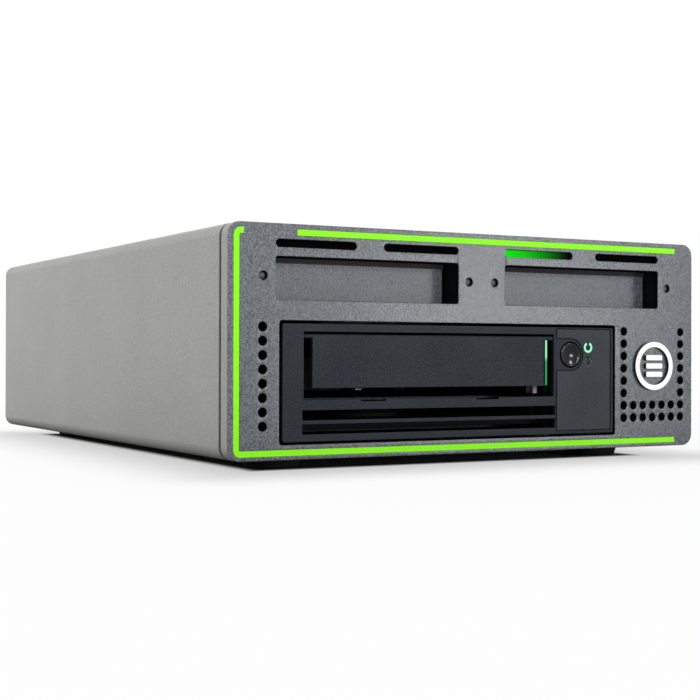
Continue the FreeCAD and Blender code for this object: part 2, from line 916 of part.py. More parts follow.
tray = new_body("chassis_tray")
tray_left = across(liner_inset)
tray_right = across(cell.panel_width - liner_inset)
tray_turn = cell.panel_corner - cell.sleeve_wall
pad(tray, "Y", skirt_back, rear_inner,
    outline((tray_left, sleeve_floor + cell.tray_height),
            (tray_left, sleeve_floor, tray_turn),
            (tray_right, sleeve_floor, tray_turn),
            (tray_right, sleeve_floor + cell.tray_height),
            (tray_right - cell.sheet, sleeve_floor + cell.tray_height),
            (tray_right - cell.sheet, tray_top, tray_turn - cell.sheet),
            (tray_left + cell.sheet, tray_top, tray_turn - cell.sheet),
            (tray_left + cell.sheet, sleeve_floor + cell.tray_height)))
board_left = across(cell.board_across)
board_front = rear_inner - cell.board_length
standoff_top = tray_top + cell.standoff_height
standoffs = [(board_left + x, board_front + y)
             for x in (cell.standoff_inset, cell.board_width - cell.standoff_inset)
             for y in (cell.standoff_inset, cell.board_length - cell.standoff_inset - 6)]
pad(tray, "Z", tray_top, standoff_top,
    *[circle(x, y, cell.standoff_diameter) for x, y in standoffs])
pocket(tray, "Z", sleeve_floor, tray_top,
       *[circle(x, y, cell.screw_shank + 2 * cell.pin_clearance)
         for x in foot_xs for y in foot_ys],
       *[circle(x, case_screw_ys[1], cell.screw_shank + 2 * cell.pin_clearance)
         for x in case_screw_xs])

# Feet and the screws under the case

foot_radius = cell.foot_diameter / 2
screw_radius = cell.screw_shank / 2
hole_radius = screw_radius + cell.pin_clearance
recess_radius = cell.foot_recess_diameter / 2


foot = new_body("foot")
turn(foot,
     (recess_radius, 0),
     (foot_radius - cell.foot_taper - 0.5, 0),
     (foot_radius - cell.foot_taper, 0.5),
     (foot_radius, cell.foot_height),
     (hole_radius, cell.foot_height),
     (hole_radius, cell.foot_recess),
     (recess_radius, cell.foot_recess))
spread("rubber_feet", foot, [(x, y, size(0), None) for x in foot_xs for y in foot_ys])


def screw(label, head, head_height, shank, length):
    # Head below its seat at zero, shank up from there, both about Z.
    body = new_body(label)
    turn(body,
         (0, 0 - head_height),
         (head / 2 - head_height / 3, 0 - head_height),
         (head / 2, head_height / -2),
         (head / 2, 0),
         (shank / 2, 0),
         (shank / 2, length - shank / 6),
         (shank / 3, length),
         (0, length))
    return body


foot_screw = screw("foot_screw", cell.screw_head, cell.screw_head_height, cell.screw_shank,
                   tray_top - cell.foot_recess - cell.tip_clearance)
spread("foot_screws", foot_screw,
       [(x, y, cell.foot_recess, None) for x in foot_xs for y in foot_ys])
case_screw = screw("case_screw", cell.case_screw_head, cell.case_screw_head_height,
                   cell.screw_shank, cell.sleeve_wall + cell.sheet + 1)
spread("case_screws", case_screw,
       [(x, y, base, None) for x in case_screw_xs for y in case_screw_ys])

# Drive bays: a sheet tube with ears on the panel's back, a blank in its mouth, a board behind

bay_inner_width = cell.bay_window_width + 2 * cell.bay_side_room
bay_inner_height = cell.bay_window_height + 2 * cell.bay_top_room
bay_back = web_back + cell.bay_length
blank_front = behind(cell.blank_recess)
bay_ear_height = cell.bay_window_height + 2 * cell.bay_ear_lip

for side, way, centre in zip(("left", "right"), (-1, 1), bay_centres):
    cage = new_body(f"bay_cage_{side}")
    pad(cage, "Y", web_back, bay_back,
        centred(centre, bay_middle, bay_inner_width + 2 * cell.sheet,
                bay_inner_height + 2 * cell.sheet, cell.sheet),
        centred(centre, bay_middle, bay_inner_width, bay_inner_height))
    pad(cage, "Y", web_back, web_back + cell.sheet,
        centred(centre, bay_middle, cell.bay_screw_spacing + cell.bay_ear, bay_ear_height),
        centred(centre, bay_middle, bay_inner_width, bay_inner_height))
    pocket(cage, "Y", web_back, web_back + cell.sheet,
           *[circle(x, z, cell.bay_screw_shank + 2 * cell.pin_clearance)
             for x, z in bay_screw_places if abs(x.value - centre.value) < 60])

    blank = new_body(f"bay_blank_{side}")
    blank_bottom = bay_middle - bay_inner_height / 2
    blank_top = bay_middle + bay_inner_height / 2 - cell.blank_top_gap
    blank_left = centre + way * cell.blank_shift - bay_inner_width / 2 + cell.blank_gap
    blank_right = centre + way * cell.blank_shift + bay_inner_width / 2 - cell.blank_gap
    pad(blank, "Y", blank_front, blank_front + cell.blank_depth,
        rect(blank_left, blank_right, blank_bottom, blank_top))
    round_edges(blank, cell.blank_bend, at_depth(blank_front))
    pocket(blank, "Y", blank_front + cell.blank_sheet, blank_front + cell.blank_depth,
           rect(blank_left + cell.blank_sheet, blank_right - cell.blank_sheet,
                blank_bottom + cell.blank_sheet, blank_top - cell.blank_sheet))

backplanes = new_body("bay_backplanes")
pad(backplanes, "Y", bay_back, bay_back + cell.backplane_thickness,
    *[centred(centre, bay_middle, bay_inner_width + 2 * cell.sheet, bay_inner_height + 2 * cell.sheet)
      for centre in bay_centres])
pad(backplanes, "Y", bay_back - cell.bay_plug_depth, bay_back,
    *[centred(centre, bay_middle, cell.bay_plug_width, cell.bay_plug_height)
      for centre in bay_centres])

bay_screw = screw("bay_screw", cell.bay_screw_head, cell.bay_screw_head_height, cell.bay_screw_shank,
                  cell.bay_screw_length)
spread("bay_screws", bay_screw, [(x, screw_seat, z, to_rear) for x, z in bay_screw_places])

# Light guides behind the four slots, and the strip board with a lamp at each guide's left end

guide_half = cell.slot_width / 2 + cell.guide_margin
guide_back = web_back + cell.guide_depth
indicator_front = guide_back + cell.lamp_depth
guides = new_body("slot_light_guides")
pad(guides, "Y", web_back, guide_back,
    *[rect(start - cell.guide_margin, start + cell.slot_length + cell.guide_margin,
           slot_middle - guide_half, slot_middle + guide_half) for start in slot_starts])
indicator = new_body("indicator_board")
pad(indicator, "Y", indicator_front, indicator_front + cell.indicator_thickness,
    rect(slot_starts[0] - 2, slot_starts[3] + cell.slot_length + 2,
         slot_middle - cell.indicator_height / 2, slot_middle + cell.indicator_height / 2))
pad(indicator, "Y", guide_back, indicator_front,
    *[rect(start, start + cell.lamp_length, slot_middle - cell.lamp_height / 2,
           slot_middle + cell.lamp_height / 2) for start in slot_starts])

# Tape drive: base casting and cover

bezel_front = behind(cell.bezel_recess)
bezel_back = bezel_front + cell.bezel_depth
drive_left = across(cell.drive_across)
drive_right = drive_left + cell.drive_width
drive_bottom = above(cell.drive_above)
drive_front = bezel_back
drive_back = drive_front + cell.drive_length
cover_top = drive_bottom + cell.drive_height
cover_seat = cover_top - cell.cover_sheet
deck = above(cell.deck_above)
inner_left = drive_left + cell.drive_wall
inner_right = drive_right - cell.drive_wall

cart_x = across(cell.cartridge_across)
carrier_half = cell.cartridge_width / 2 + cell.cartridge_room
carrier_outer = carrier_half + cell.carrier_sheet
plate_inner = carrier_outer + cell.loader_gap
plate_outer = plate_inner + cell.loader_plate
rail_left = cart_x - plate_outer - cell.rail_gap
rail_right = cart_x + plate_outer + cell.rail_gap
rail_front = behind(cell.rail_front)
connector_left = across(cell.connector_across)
board_seat = deck - cell.deck_thickness

casting = new_body("drive_base")
pad(casting, "Z", drive_bottom, cover_seat,
    rect(drive_left, drive_right, drive_front, drive_back, cell.drive_wall))
pocket(casting, "Z", deck, cover_seat,
       rect(inner_left, inner_right, drive_front, drive_back - cell.drive_wall))
pocket(casting, "Z", drive_bottom, board_seat,
       rect(inner_left, inner_right, drive_front, drive_back - cell.drive_wall))
pad(casting, "Z", deck, deck + cell.rail_height,
    rect(inner_left, rail_left, rail_front, rail_front + cell.rail_length),
    rect(rail_right, rail_right + cell.rail_wall, rail_front, rail_front + cell.rail_length))
pocket(casting, "Y", drive_back - cell.drive_wall, drive_back,
       rect(connector_left - 0.3, connector_left + cell.connector_width + 0.3,
            drive_bottom + 0.8, drive_bottom + 0.8 + cell.connector_height))

side_screw_z = above(cell.side_screw_above)
side_screw_ys = [behind(cell.side_screw_front),
                 behind(cell.side_screw_front + cell.side_screw_pitch)]
side_screw_hole = cell.side_screw_shank + 2 * cell.pin_clearance
for low, high in ((drive_left, inner_left), (inner_right, drive_right)):
    pocket(casting, "X", low, high, *[circle(y, side_screw_z, side_screw_hole) for y in side_screw_ys])

cover = new_body("drive_cover")
pad(cover, "Z", cover_seat, cover_top,
    rect(drive_left, drive_right, drive_front, drive_back, cell.drive_wall))
pad(cover, "Z", cover_top, cover_top + cell.cover_emboss,
    *[centred(cart_x, y, cell.emboss_width, length, cell.emboss_corner)
      for y, length in ((drive_front + cell.emboss_front, cell.emboss_length),
                        (behind(cell.reel_behind), cell.emboss_rear_length))])

# Drive bezel

mouth_left = across(cell.mouth_left)
mouth_right = across(cell.mouth_right)
mouth_bottom = above(cell.mouth_bottom)
mouth_top = above(cell.mouth_top)
bezel_left = across(cell.bezel_across)
bezel_right = bezel_left + cell.bezel_width
bezel_bottom = above(cell.bezel_above)
bezel_top = bezel_bottom + cell.bezel_height
face_back = bezel_front + cell.bezel_face
icons = [(above(cell.power_icon_above), cell.power_icon_diameter),
         (above(cell.fault_icon_above), cell.fault_icon_diameter)]
icon_x = across(cell.icon_across)
button_x = across(cell.button_across)
button_z = above(cell.button_above)
door_front = bezel_front + cell.door_inset
door_pin_y = door_front + cell.door_thickness / 2
door_pin_z = above(cell.door_pin_above)
pin_left = mouth_left - 2
pin_right = mouth_right + 1


def side_cover_outline(grow):
    # A plate with a round-nosed notch in its left side, about the button.
    west = across(cell.side_cover_left) - grow
    nose = across(cell.side_notch_reach) - grow
    low = above(cell.side_notch_bottom) + grow
    high = above(cell.side_notch_top) - grow
    bottom = above(cell.side_cover_bottom) - grow
    top = above(cell.side_cover_top) + grow
    east = across(cell.side_cover_right) + grow
    nose_round = cell.side_notch_round - grow
    return outline((west, bottom), (east, bottom), (east, top), (west, top), (west, high),
                   (nose, high, nose_round), (nose, low, nose_round), (west, low))


def mouth_outline():
    # The cartridge opening, with two shallow notches in its lower edge.
    notch_bottom = mouth_bottom - cell.mouth_notch_depth
    notches = []
    for start in (across(cell.mouth_notch_left), across(cell.mouth_notch_right)):
        end = start + cell.mouth_notch_width
        notches += [(start, mouth_bottom), (start, notch_bottom), (end, notch_bottom),
                    (end, mouth_bottom)]
    return outline((mouth_left, mouth_bottom), *notches, (mouth_right, mouth_bottom),
                   (mouth_right, mouth_top), (mouth_left, mouth_top))


bezel = new_body("drive_bezel")
pad(bezel, "Y", bezel_front, bezel_back,
    rect(bezel_left, bezel_right, bezel_bottom, bezel_top, cell.bezel_corner))
pocket(bezel, "Y", face_back, bezel_back,
       rect(bezel_left + cell.bezel_wall, bezel_right - cell.bezel_wall,
            bezel_bottom + cell.bezel_wall, bezel_top - cell.bezel_wall))
pocket(bezel, "Y", bezel_front, face_back,
       mouth_outline(),
       *[rect(across(cell.grille_left), across(cell.grille_right), above(low),
              above(low + cell.grille_height)) for low in (cell.grille_lower, cell.grille_upper)],
       circle(button_x, button_z, cell.button_hole),
       *[circle(icon_x, z, diameter + 2 * cell.pin_clearance) for z, diameter in icons])
pocket(bezel, "Y", bezel_front, bezel_front + cell.side_cover_depth,
       side_cover_outline(cell.side_cover_gap))
pocket(bezel, "X", pin_left, pin_right,
       circle(door_pin_y, door_pin_z, cell.door_pin_diameter + 2 * cell.pin_clearance))

side_cover = new_body("bezel_side_cover")
pad(side_cover, "Y", bezel_front, bezel_front + cell.side_cover_depth,
    side_cover_outline(size(0)),
    *[circle(icon_x, z, diameter + 2 * cell.pin_clearance) for z, diameter in icons])

# Cartridge door on its pin, with the light strip down its right edge

door = new_body("cartridge_door")
ear_left = mouth_left + cell.door_ear_gap
ear_right = mouth_right - cell.door_ear_gap
door_radius = cell.door_thickness / 2
pad(door, "X", ear_left, ear_right, circle(door_pin_y, door_pin_z, cell.door_thickness))
pad(door, "Y", door_front, door_front + cell.door_thickness,
    rect(across(cell.door_left), across(cell.door_right), above(cell.door_bottom), door_pin_z))
pocket(door, "X", ear_left, ear_right,
       circle(door_pin_y, door_pin_z, cell.door_pin_diameter + 2 * cell.pin_clearance))
pocket(door, "Y", door_front, door_front + cell.door_groove_depth,
       rect(across(cell.door_right) - cell.door_groove_width, across(cell.door_right),
            above(cell.door_bottom), above(cell.door_light_top)))

door_pin = new_body("door_pin")
pad(door_pin, "X", pin_left, pin_right, circle(door_pin_y, door_pin_z, cell.door_pin_diameter))

door_light = new_body("door_light_strip")
pad(door_light, "Y", door_front, door_front + cell.door_thickness,
    rect(across(cell.door_right), across(cell.door_right) + cell.door_light_width,
         above(cell.door_light_bottom), above(cell.door_light_top), size(0.4)))

# Eject button, icon light guides, and the small board with the switch behind them

button_front = bezel_front - cell.button_slack
button_radius = cell.button_diameter / 2
flange_front = face_back + cell.button_slack
front_board_front = bezel_back - cell.front_board_thickness
switch_front = front_board_front - cell.switch_height
stem_end = switch_front - cell.button_travel - cell.button_slack

button = new_body("eject_button")
turn(button,
     (0, cell.button_dish),
     (button_radius * 0.45, cell.button_dish * 0.75),
     (button_radius - 0.9, 0),
     (button_radius - 0.3, 0.1),
     (button_radius, 0.5),
     (button_radius, flange_front - button_front),
     (cell.button_flange / 2, flange_front - button_front),
     (cell.button_flange / 2, flange_front - button_front + cell.button_flange_thickness),
     (cell.button_stem / 2, flange_front - button_front + cell.button_flange_thickness),
     (cell.button_stem / 2, stem_end - button_front),
     (0, stem_end - button_front))
place_body(button, button_x, button_front, button_z, to_rear)

front_board = new_body("front_board")
pad(front_board, "Y", front_board_front, bezel_back,
    rect(mouth_right + 1.6, bezel_right - cell.bezel_wall - 0.3,
         bezel_bottom + cell.bezel_wall + 0.3, bezel_top - cell.bezel_wall - 0.3))
pad(front_board, "Y", switch_front, front_board_front,
    centred(button_x, button_z, cell.switch_width, cell.switch_width, size(0.5)))

icon_guides = new_body("icon_light_guides")
pad(icon_guides, "Y", bezel_front, front_board_front,
    *[circle(icon_x, z, diameter) for z, diameter in icons])

# Cartridge loader: side plates that slide to the rear, and the carrier that sinks between them

carrier_front = behind(cell.carrier_front)
carrier_back = carrier_front + cell.carrier_length
carrier_floor = above(cell.cartridge_floor)
carrier_top = above(cell.carrier_top)
lift_z = above(cell.lift_pin_above)
lift_ys = [carrier_front + cell.lift_pin_front, carrier_front + cell.lift_pin_rear]
sheet_low = cell.carrier_sheet

carrier = new_body("cartridge_carrier")
pad(carrier, "Y", carrier_front, carrier_back,
    outline((cart_x - carrier_outer, carrier_top),
            (cart_x - carrier_outer, carrier_floor - sheet_low),
            (cart_x + carrier_outer, carrier_floor - sheet_low),
            (cart_x + carrier_outer, carrier_top),
            (cart_x + carrier_half - cell.carrier_lip, carrier_top),
            (cart_x + carrier_half - cell.carrier_lip, carrier_top - sheet_low),
            (cart_x + carrier_half, carrier_top - sheet_low),
            (cart_x + carrier_half, carrier_floor),
            (cart_x - carrier_half, carrier_floor),
            (cart_x - carrier_half, carrier_top - sheet_low),
            (cart_x - carrier_half + cell.carrier_lip, carrier_top - sheet_low),
            (cart_x - carrier_half + cell.carrier_lip, carrier_top)))
pocket(carrier, "Z", carrier_floor - sheet_low, carrier_floor,
       rect(cart_x - cell.carrier_slot_width / 2, cart_x + cell.carrier_slot_width / 2,
            carrier_front + cell.carrier_slot_front, carrier_back))
pin_reach = plate_outer - 0.1
for low, high in ((cart_x - pin_reach, cart_x - carrier_half),
                  (cart_x + carrier_half, cart_x + pin_reach)):
    pad(carrier, "X", low, high, *[circle(y, lift_z, cell.lift_pin_diameter) for y in lift_ys])

loader = new_body("loader_frame")
loader_bottom = above(cell.loader_bottom)
loader_top = above(cell.loader_top)
loader_front = carrier_front + 3
lift_slot = cell.lift_pin_diameter + 4 * cell.seat_gap
pad(loader, "Y", loader_front, carrier_back,
    *[rect(low, high, loader_bottom, loader_top)
      for low, high in ((cart_x - plate_outer, cart_x - plate_inner),
                        (cart_x + plate_inner, cart_x + plate_outer))])
pad(loader, "Y", carrier_back - cell.loader_bridge, carrier_back,
    rect(cart_x - plate_outer, cart_x + plate_outer, loader_top - cell.loader_plate / 2, loader_top))
pocket(loader, "X", cart_x - plate_outer, cart_x + plate_outer,
       *[rect(y - lift_slot / 2, y + lift_slot / 2,
              lift_z - cell.lift_travel - lift_slot / 2, lift_z + lift_slot / 2)
         for y in lift_ys])

# Cartridge lever, on a post beside the mouth

lever_x = across(cell.lever_across)
lever_y = behind(cell.lever_behind)
lever_z = above(cell.lever_above)
pad(casting, "Z", deck, lever_z + cell.lever_height + 0.6,
    circle(lever_x, lever_y, cell.lever_post))
lever = new_body("cartridge_lever")
half_lever = cell.lever_width / 2
pad(lever, "Z", size(0), cell.lever_height,
    polygon((0 - half_lever, 0), (half_lever * -0.6, 0 - cell.lever_reach),
            (half_lever * 0.6, 0 - cell.lever_reach), (half_lever, 0)))
pad(lever, "Z", size(0), cell.lever_height, circle(size(0), size(0), cell.lever_post + 2.2))
pocket(lever, "Z", size(0), cell.lever_height,
       circle(size(0), size(0), cell.lever_post + 2 * cell.pin_clearance))
place_body(lever, lever_x, lever_y, lever_z, Rotation(Vector(0, 0, 1), -sizes["lever_rest"]))

# Supply clutch under the cartridge's reel, with a face ring of teeth

supply_y = behind(cell.supply_behind)
supply_motor = new_body("supply_motor")
pad(supply_motor, "Z", deck, deck + cell.supply_motor_height,
    circle(size(0), size(0), cell.supply_motor_diameter))
pad(supply_motor, "Z", deck + cell.supply_motor_height, above(cell.clutch_above) + cell.clutch_height,
    circle(size(0), size(0), cell.supply_shaft))
place_body(supply_motor, cart_x, supply_y, size(0))

clutch = new_body("supply_clutch")
clutch_radius = cell.clutch_diameter / 2
pad(clutch, "Z", size(0), cell.clutch_height,
    circle(size(0), size(0), cell.clutch_diameter),
    circle(size(0), size(0), cell.supply_shaft + 2 * cell.pin_clearance))
tooth = pad(clutch, "Z", cell.clutch_height, cell.clutch_height + cell.clutch_tooth,
            rect(clutch_radius - 5, clutch_radius - 1.5, size(-0.7), size(0.7)))
repeat_round(clutch, tooth, cell.clutch_teeth)
place_body(clutch, cart_x, supply_y, above(cell.clutch_above))

# Take-up reel and its flat motor

reel_x = across(cell.reel_across)
reel_y = behind(cell.reel_behind)
reel_bottom = above(cell.reel_above)
reel_motor = new_body("reel_motor")
pad(reel_motor, "Z", deck, deck + cell.reel_motor_height,
    circle(size(0), size(0), cell.reel_motor_diameter))
pad(reel_motor, "Z", deck + cell.reel_motor_height, reel_bottom + cell.reel_height - 2,
    circle(size(0), size(0), cell.reel_shaft))
place_body(reel_motor, reel_x, reel_y, size(0))

reel = new_body("take_up_reel")
reel_bore = cell.reel_shaft / 2 + cell.pin_clearance
reel_radius = cell.reel_diameter / 2
hub_radius = cell.reel_hub / 2
turn(reel,
     (reel_bore, 0),
     (reel_radius, 0),
     (reel_radius, cell.reel_flange),
     (hub_radius, cell.reel_flange),
     (hub_radius, cell.reel_height - cell.reel_flange),
     (reel_radius, cell.reel_height - cell.reel_flange),
     (reel_radius, cell.reel_height),
     (hub_radius - 3, cell.reel_height),
     (hub_radius - 4, cell.reel_height / 2),
     (cell.reel_shaft, cell.reel_height / 2),
     (cell.reel_shaft, cell.reel_height),
     (reel_bore, cell.reel_height))
place_body(reel, reel_x, reel_y, reel_bottom)

# Guide rollers on their posts, and the head on two posts between them

roller_xs = [across(cell.roller_first), across(cell.roller_second),
             across(cell.roller_third), across(cell.roller_fourth)]
path_y = behind(cell.roller_behind)
roller_bottom = above(cell.roller_above)
roller_radius = cell.roller_diameter / 2
roller_bore = cell.roller_post / 2 + cell.pin_clearance
for number, x in enumerate(roller_xs, 1):
    roller = new_body(f"guide_roller_{number}")
    turn(roller,
         (roller_bore, 0),
         (roller_radius, 0),
         (roller_radius, 0.6),
         (roller_radius - 0.8, 0.9),
         (roller_radius - 0.8, cell.roller_height - 0.9),
         (roller_radius, cell.roller_height - 0.6),
         (roller_radius, cell.roller_height),
         (roller_bore, cell.roller_height))
    place_body(roller, x, path_y, roller_bottom)

head_x = across(cell.head_across)
head_post_xs = [head_x + side * cell.head_post_spacing / 2 for side in (-1, 1)]
post_top = roller_bottom + cell.roller_height + 1
posts = new_body("tape_path_posts")
pad(posts, "Z", deck, post_top, *[circle(x, path_y, cell.roller_post) for x in roller_xs])
pad(posts, "Z", deck, roller_bottom - 0.3,
    *[circle(x, path_y, cell.roller_diameter - 4) for x in roller_xs])
pad(posts, "Z", deck, above(cell.head_above) + cell.head_height + cell.head_travel + 2,
    *[circle(x, path_y, cell.head_post) for x in head_post_xs])

head = new_body("read_write_head")
head_bottom = above(cell.head_above)
head_rear = path_y + cell.head_depth / 2
head_front = path_y - cell.head_depth / 2
pad(head, "Z", head_bottom, head_bottom + cell.head_height,
    rect(head_x - cell.head_width / 2, head_x + cell.head_width / 2, head_front, head_rear, size(1)),
    *[circle(x, path_y, cell.head_post + 2 * cell.pin_clearance) for x in head_post_xs])
pad(head, "Z", head_bottom + cell.head_nose_inset,
    head_bottom + cell.head_height - cell.head_nose_inset,
    rect(head_x - cell.head_nose_width / 2, head_x + cell.head_nose_width / 2,
         head_front - cell.head_nose_depth, head_front))

# Drive electronics and fixings

main_board = new_body("drive_main_board")
pad(main_board, "Z", board_seat - cell.main_board_thickness, board_seat,
    rect(inner_left + cell.board_gap, inner_right - cell.board_gap,
         drive_front + cell.main_board_setback, drive_back - cell.drive_wall - cell.board_gap))

connector = new_body("drive_connectors")
pad(connector, "Y", drive_back - cell.drive_wall, drive_back + cell.connector_depth,
    rect(connector_left, connector_left + cell.connector_width, drive_bottom + 1,
         drive_bottom + 1 + cell.connector_height - 0.4))

bracket_front = behind(cell.bracket_front)
for side, edge, way in (("left", drive_left, 1), ("right", drive_right, -1)):
    bracket = new_body(f"drive_bracket_{side}")
    pad(bracket, "Y", bracket_front, bracket_front + cell.bracket_length,
        outline((edge, tray_top + cell.bracket_height),
                (edge - way * cell.sheet, tray_top + cell.bracket_height),
                (edge - way * cell.sheet, tray_top, cell.bend),
                (edge + way * cell.bracket_foot, tray_top),
                (edge + way * cell.bracket_foot, tray_top + cell.sheet),
                (edge, tray_top + cell.sheet, cell.bend - cell.sheet)))
    pocket(bracket, "X", *sorted((edge, edge - way * cell.sheet), key=lambda end: end.value),
           *[circle(y, side_screw_z, side_screw_hole) for y in side_screw_ys])

side_screw = screw("side_screw", cell.side_screw_head, cell.side_screw_head_height,
                   cell.side_screw_shank, cell.sheet + cell.drive_wall - 0.2)
spread("drive_side_screws", side_screw,
       [(drive_left - cell.sheet, y, side_screw_z, to_right) for y in side_screw_ys] +
       [(drive_right + cell.sheet, y, side_screw_z, to_left) for y in side_screw_ys])

# Power supply, a vented case of its own on the tray

supply = new_body("power_supply")
supply_left = across(cell.supply_across)
supply_back = rear_inner - cell.supply_rear_gap
supply_front = supply_back - cell.supply_length
supply_top = tray_top + cell.supply_height
pad(supply, "Y", supply_front, supply_back,
    rect(supply_left, supply_left + cell.supply_width, tray_top, supply_top, cell.bend))
vent_count = int((sizes["supply_length"] - 2 * sizes["supply_vent_inset"]) / sizes["supply_vent_pitch"])
supply_vents = [supply_front + cell.supply_vent_inset + cell.supply_vent_pitch * step
                for step in range(vent_count + 1)]
pocket(supply, "Z", supply_top - cell.sheet, supply_top,
       *[centred(supply_left + cell.supply_width / 2, y, cell.supply_vent_length,
                 cell.supply_vent_width) for y in supply_vents])

# Mains inlet: a flanged socket with a bevelled well, its three blades and its screws

inlet = new_body("mains_inlet")
inlet_x = across(cell.inlet_across)
inlet_z = above(cell.inlet_above)
inlet_face = rear_face + cell.inlet_flange
socket_floor = inlet_face - cell.inlet_socket_depth
half_socket = cell.inlet_socket_width / 2
tall_socket = cell.inlet_socket_height / 2
inlet_screw_zs = [inlet_z + side * cell.inlet_screw_spacing / 2 for side in (-1, 1)]
inlet_screw_seat = inlet_face - 1.6
pad(inlet, "Y", rear_face, inlet_face,
    centred(inlet_x, inlet_z, cell.inlet_flange_width, cell.inlet_flange_height,
            cell.inlet_flange_corner))
pad(inlet, "Y", rear_face - cell.inlet_body_depth, rear_face,
    centred(inlet_x, inlet_z, cell.inlet_body_width, cell.inlet_body_height, size(1)))
pocket(inlet, "Y", socket_floor, inlet_face,
       polygon((inlet_x - half_socket, inlet_z - tall_socket + cell.inlet_bevel),
               (inlet_x - half_socket + cell.inlet_bevel, inlet_z - tall_socket),
               (inlet_x + half_socket, inlet_z - tall_socket),
               (inlet_x + half_socket, inlet_z + tall_socket),
               (inlet_x - half_socket + cell.inlet_bevel, inlet_z + tall_socket),
               (inlet_x - half_socket, inlet_z + tall_socket - cell.inlet_bevel)))
pocket(inlet, "Y", inlet_screw_seat, inlet_face,
       *[circle(inlet_x, z, cell.side_screw_head + 0.4) for z in inlet_screw_zs])
pocket(inlet, "Y", rear_face, inlet_screw_seat,
       *[circle(inlet_x, z, side_screw_hole) for z in inlet_screw_zs])

blades = new_body("inlet_blades")
pad(blades, "Y", socket_floor, socket_floor + cell.inlet_pin_length,
    centred(inlet_x - cell.inlet_pin_offset, inlet_z, cell.inlet_pin_width, cell.inlet_pin_thickness),
    *[centred(inlet_x + cell.inlet_pin_offset, inlet_z + side * cell.inlet_pin_spacing / 2,
              cell.inlet_pin_width, cell.inlet_pin_thickness) for side in (-1, 1)])

inlet_screw = screw("inlet_screw", cell.side_screw_head, cell.side_screw_head_height,
                    cell.side_screw_shank, cell.inlet_flange + cell.rear_sheet + 1)
inlet_screws = spread("inlet_screws", inlet_screw,
                      [(inlet_x, inlet_screw_seat, z, to_front) for z in inlet_screw_zs])

# Power switch: housing and a rocker on trunnions, tipped to its off side

rocker_z = above(cell.rocker_above)
rocker_y = rear_face - cell.rocker_pivot_inset
well_back = rear_face + cell.rocker_bezel
housing = new_body("switch_housing")
pad(housing, "Y", rear_face, well_back,
    centred(inlet_x, rocker_z, cell.rocker_bezel_width, cell.rocker_bezel_height, size(1.2)))
pad(housing, "Y", rear_face - cell.rocker_body_depth, rear_face,
    centred(inlet_x, rocker_z, cell.rocker_body_width, cell.rocker_body_height))
pocket(housing, "Y", well_back - cell.rocker_well_depth, well_back,
       centred(inlet_x, rocker_z, cell.rocker_well_width, cell.rocker_well_height))
trunnion_reach = cell.rocker_well_height / 2 + 0.6
pocket(housing, "Z", rocker_z - trunnion_reach - 0.1, rocker_z + trunnion_reach + 0.1,
       circle(inlet_x, rocker_y, cell.rocker_trunnion + 2 * cell.pin_clearance))

rocker = new_body("power_rocker")
half_rocker = cell.rocker_length / 2
pad(rocker, "Z", cell.rocker_width / -2, cell.rocker_width / 2,
    polygon((0 - half_rocker, cell.rocker_rise),
            (0 - half_rocker, size(0.6)),
            (2.5 - half_rocker, 0 - cell.rocker_fall),
            (half_rocker - 2.5, 0 - cell.rocker_fall),
            (half_rocker, size(0.6)),
            (half_rocker, cell.rocker_rise),
            (size(0), cell.rocker_dip)))
pad(rocker, "Z", 0 - trunnion_reach, trunnion_reach, circle(size(0), size(0), cell.rocker_trunnion))
place_body(rocker, inlet_x, rocker_y, rocker_z, Rotation(Vector(0, 0, 1), -sizes["rocker_tilt"]))

# Fan: frame with struts and shaft, rotor with twisted blades, screws through the rear panel

fan_x = across(cell.fan_across)
fan_z = above(cell.fan_above)
fan_y = rear_inner - cell.fan_thickness
strut_floor = cell.fan_thickness - cell.fan_plate
hole_reach = cell.fan_hole_spacing / 2
fan_corners = [(sx * hole_reach, sz * hole_reach) for sx in (-1, 1) for sz in (-1, 1)]

fan_frame = new_body("fan_frame")
pad(fan_frame, "Z", size(0), cell.fan_thickness,
    centred(size(0), size(0), cell.fan_size, cell.fan_size, cell.fan_corner),
    circle(size(0), size(0), cell.fan_bore),
    *[circle(x, y, cell.fan_hole) for x, y in fan_corners])
pad(fan_frame, "Z", strut_floor, cell.fan_thickness, circle(size(0), size(0), cell.fan_hub))
strut = pad(fan_frame, "Z", strut_floor, cell.fan_thickness,
            rect(cell.fan_hub / 2 - 1, cell.fan_bore / 2 + 0.5,
                 cell.fan_strut / -2, cell.fan_strut / 2))
repeat_round(fan_frame, strut, size(4))
pad(fan_frame, "Z", size(3), strut_floor, circle(size(0), size(0), cell.fan_shaft))
place_body(fan_frame, fan_x, fan_y, fan_z, to_rear)

rotor = new_body("fan_rotor")
rotor_top = strut_floor - cell.fan_rotor_gap
rotor_radius = cell.fan_hub / 2 - 0.3
blade_middle = (rotor_top + 1.5) / 2
blade_rise = (rotor_top - 1.5) / 2 - 0.5


def blade_section(reach, rise):
    thick = cell.fan_blade_thickness
    return polygon((0 - reach, blade_middle - rise), (thick - reach, blade_middle - rise),
                   (reach, blade_middle + rise), (reach - thick, blade_middle + rise))


pad(rotor, "Z", size(1.5), rotor_top, circle(size(0), size(0), 2 * rotor_radius))
pocket(rotor, "Z", size(2.5), rotor_top,
       circle(size(0), size(0), cell.fan_shaft + 2 * cell.pin_clearance))
root = draw_on(rotor, "X", rotor_radius - 1.6, [blade_section(size(5), blade_rise)])
tip = draw_on(rotor, "X", cell.fan_bore / 2 - cell.fan_tip_gap - 1.4,
              [blade_section(size(7.4), blade_rise - 1)])
blade = rotor.newObject("PartDesign::AdditiveLoft", "Blade")
blade.Profile = root
blade.Sections = [tip]
repeat_round(rotor, blade, cell.fan_blades, about_body=True)
place_body(rotor, fan_x, fan_y, fan_z, to_rear)

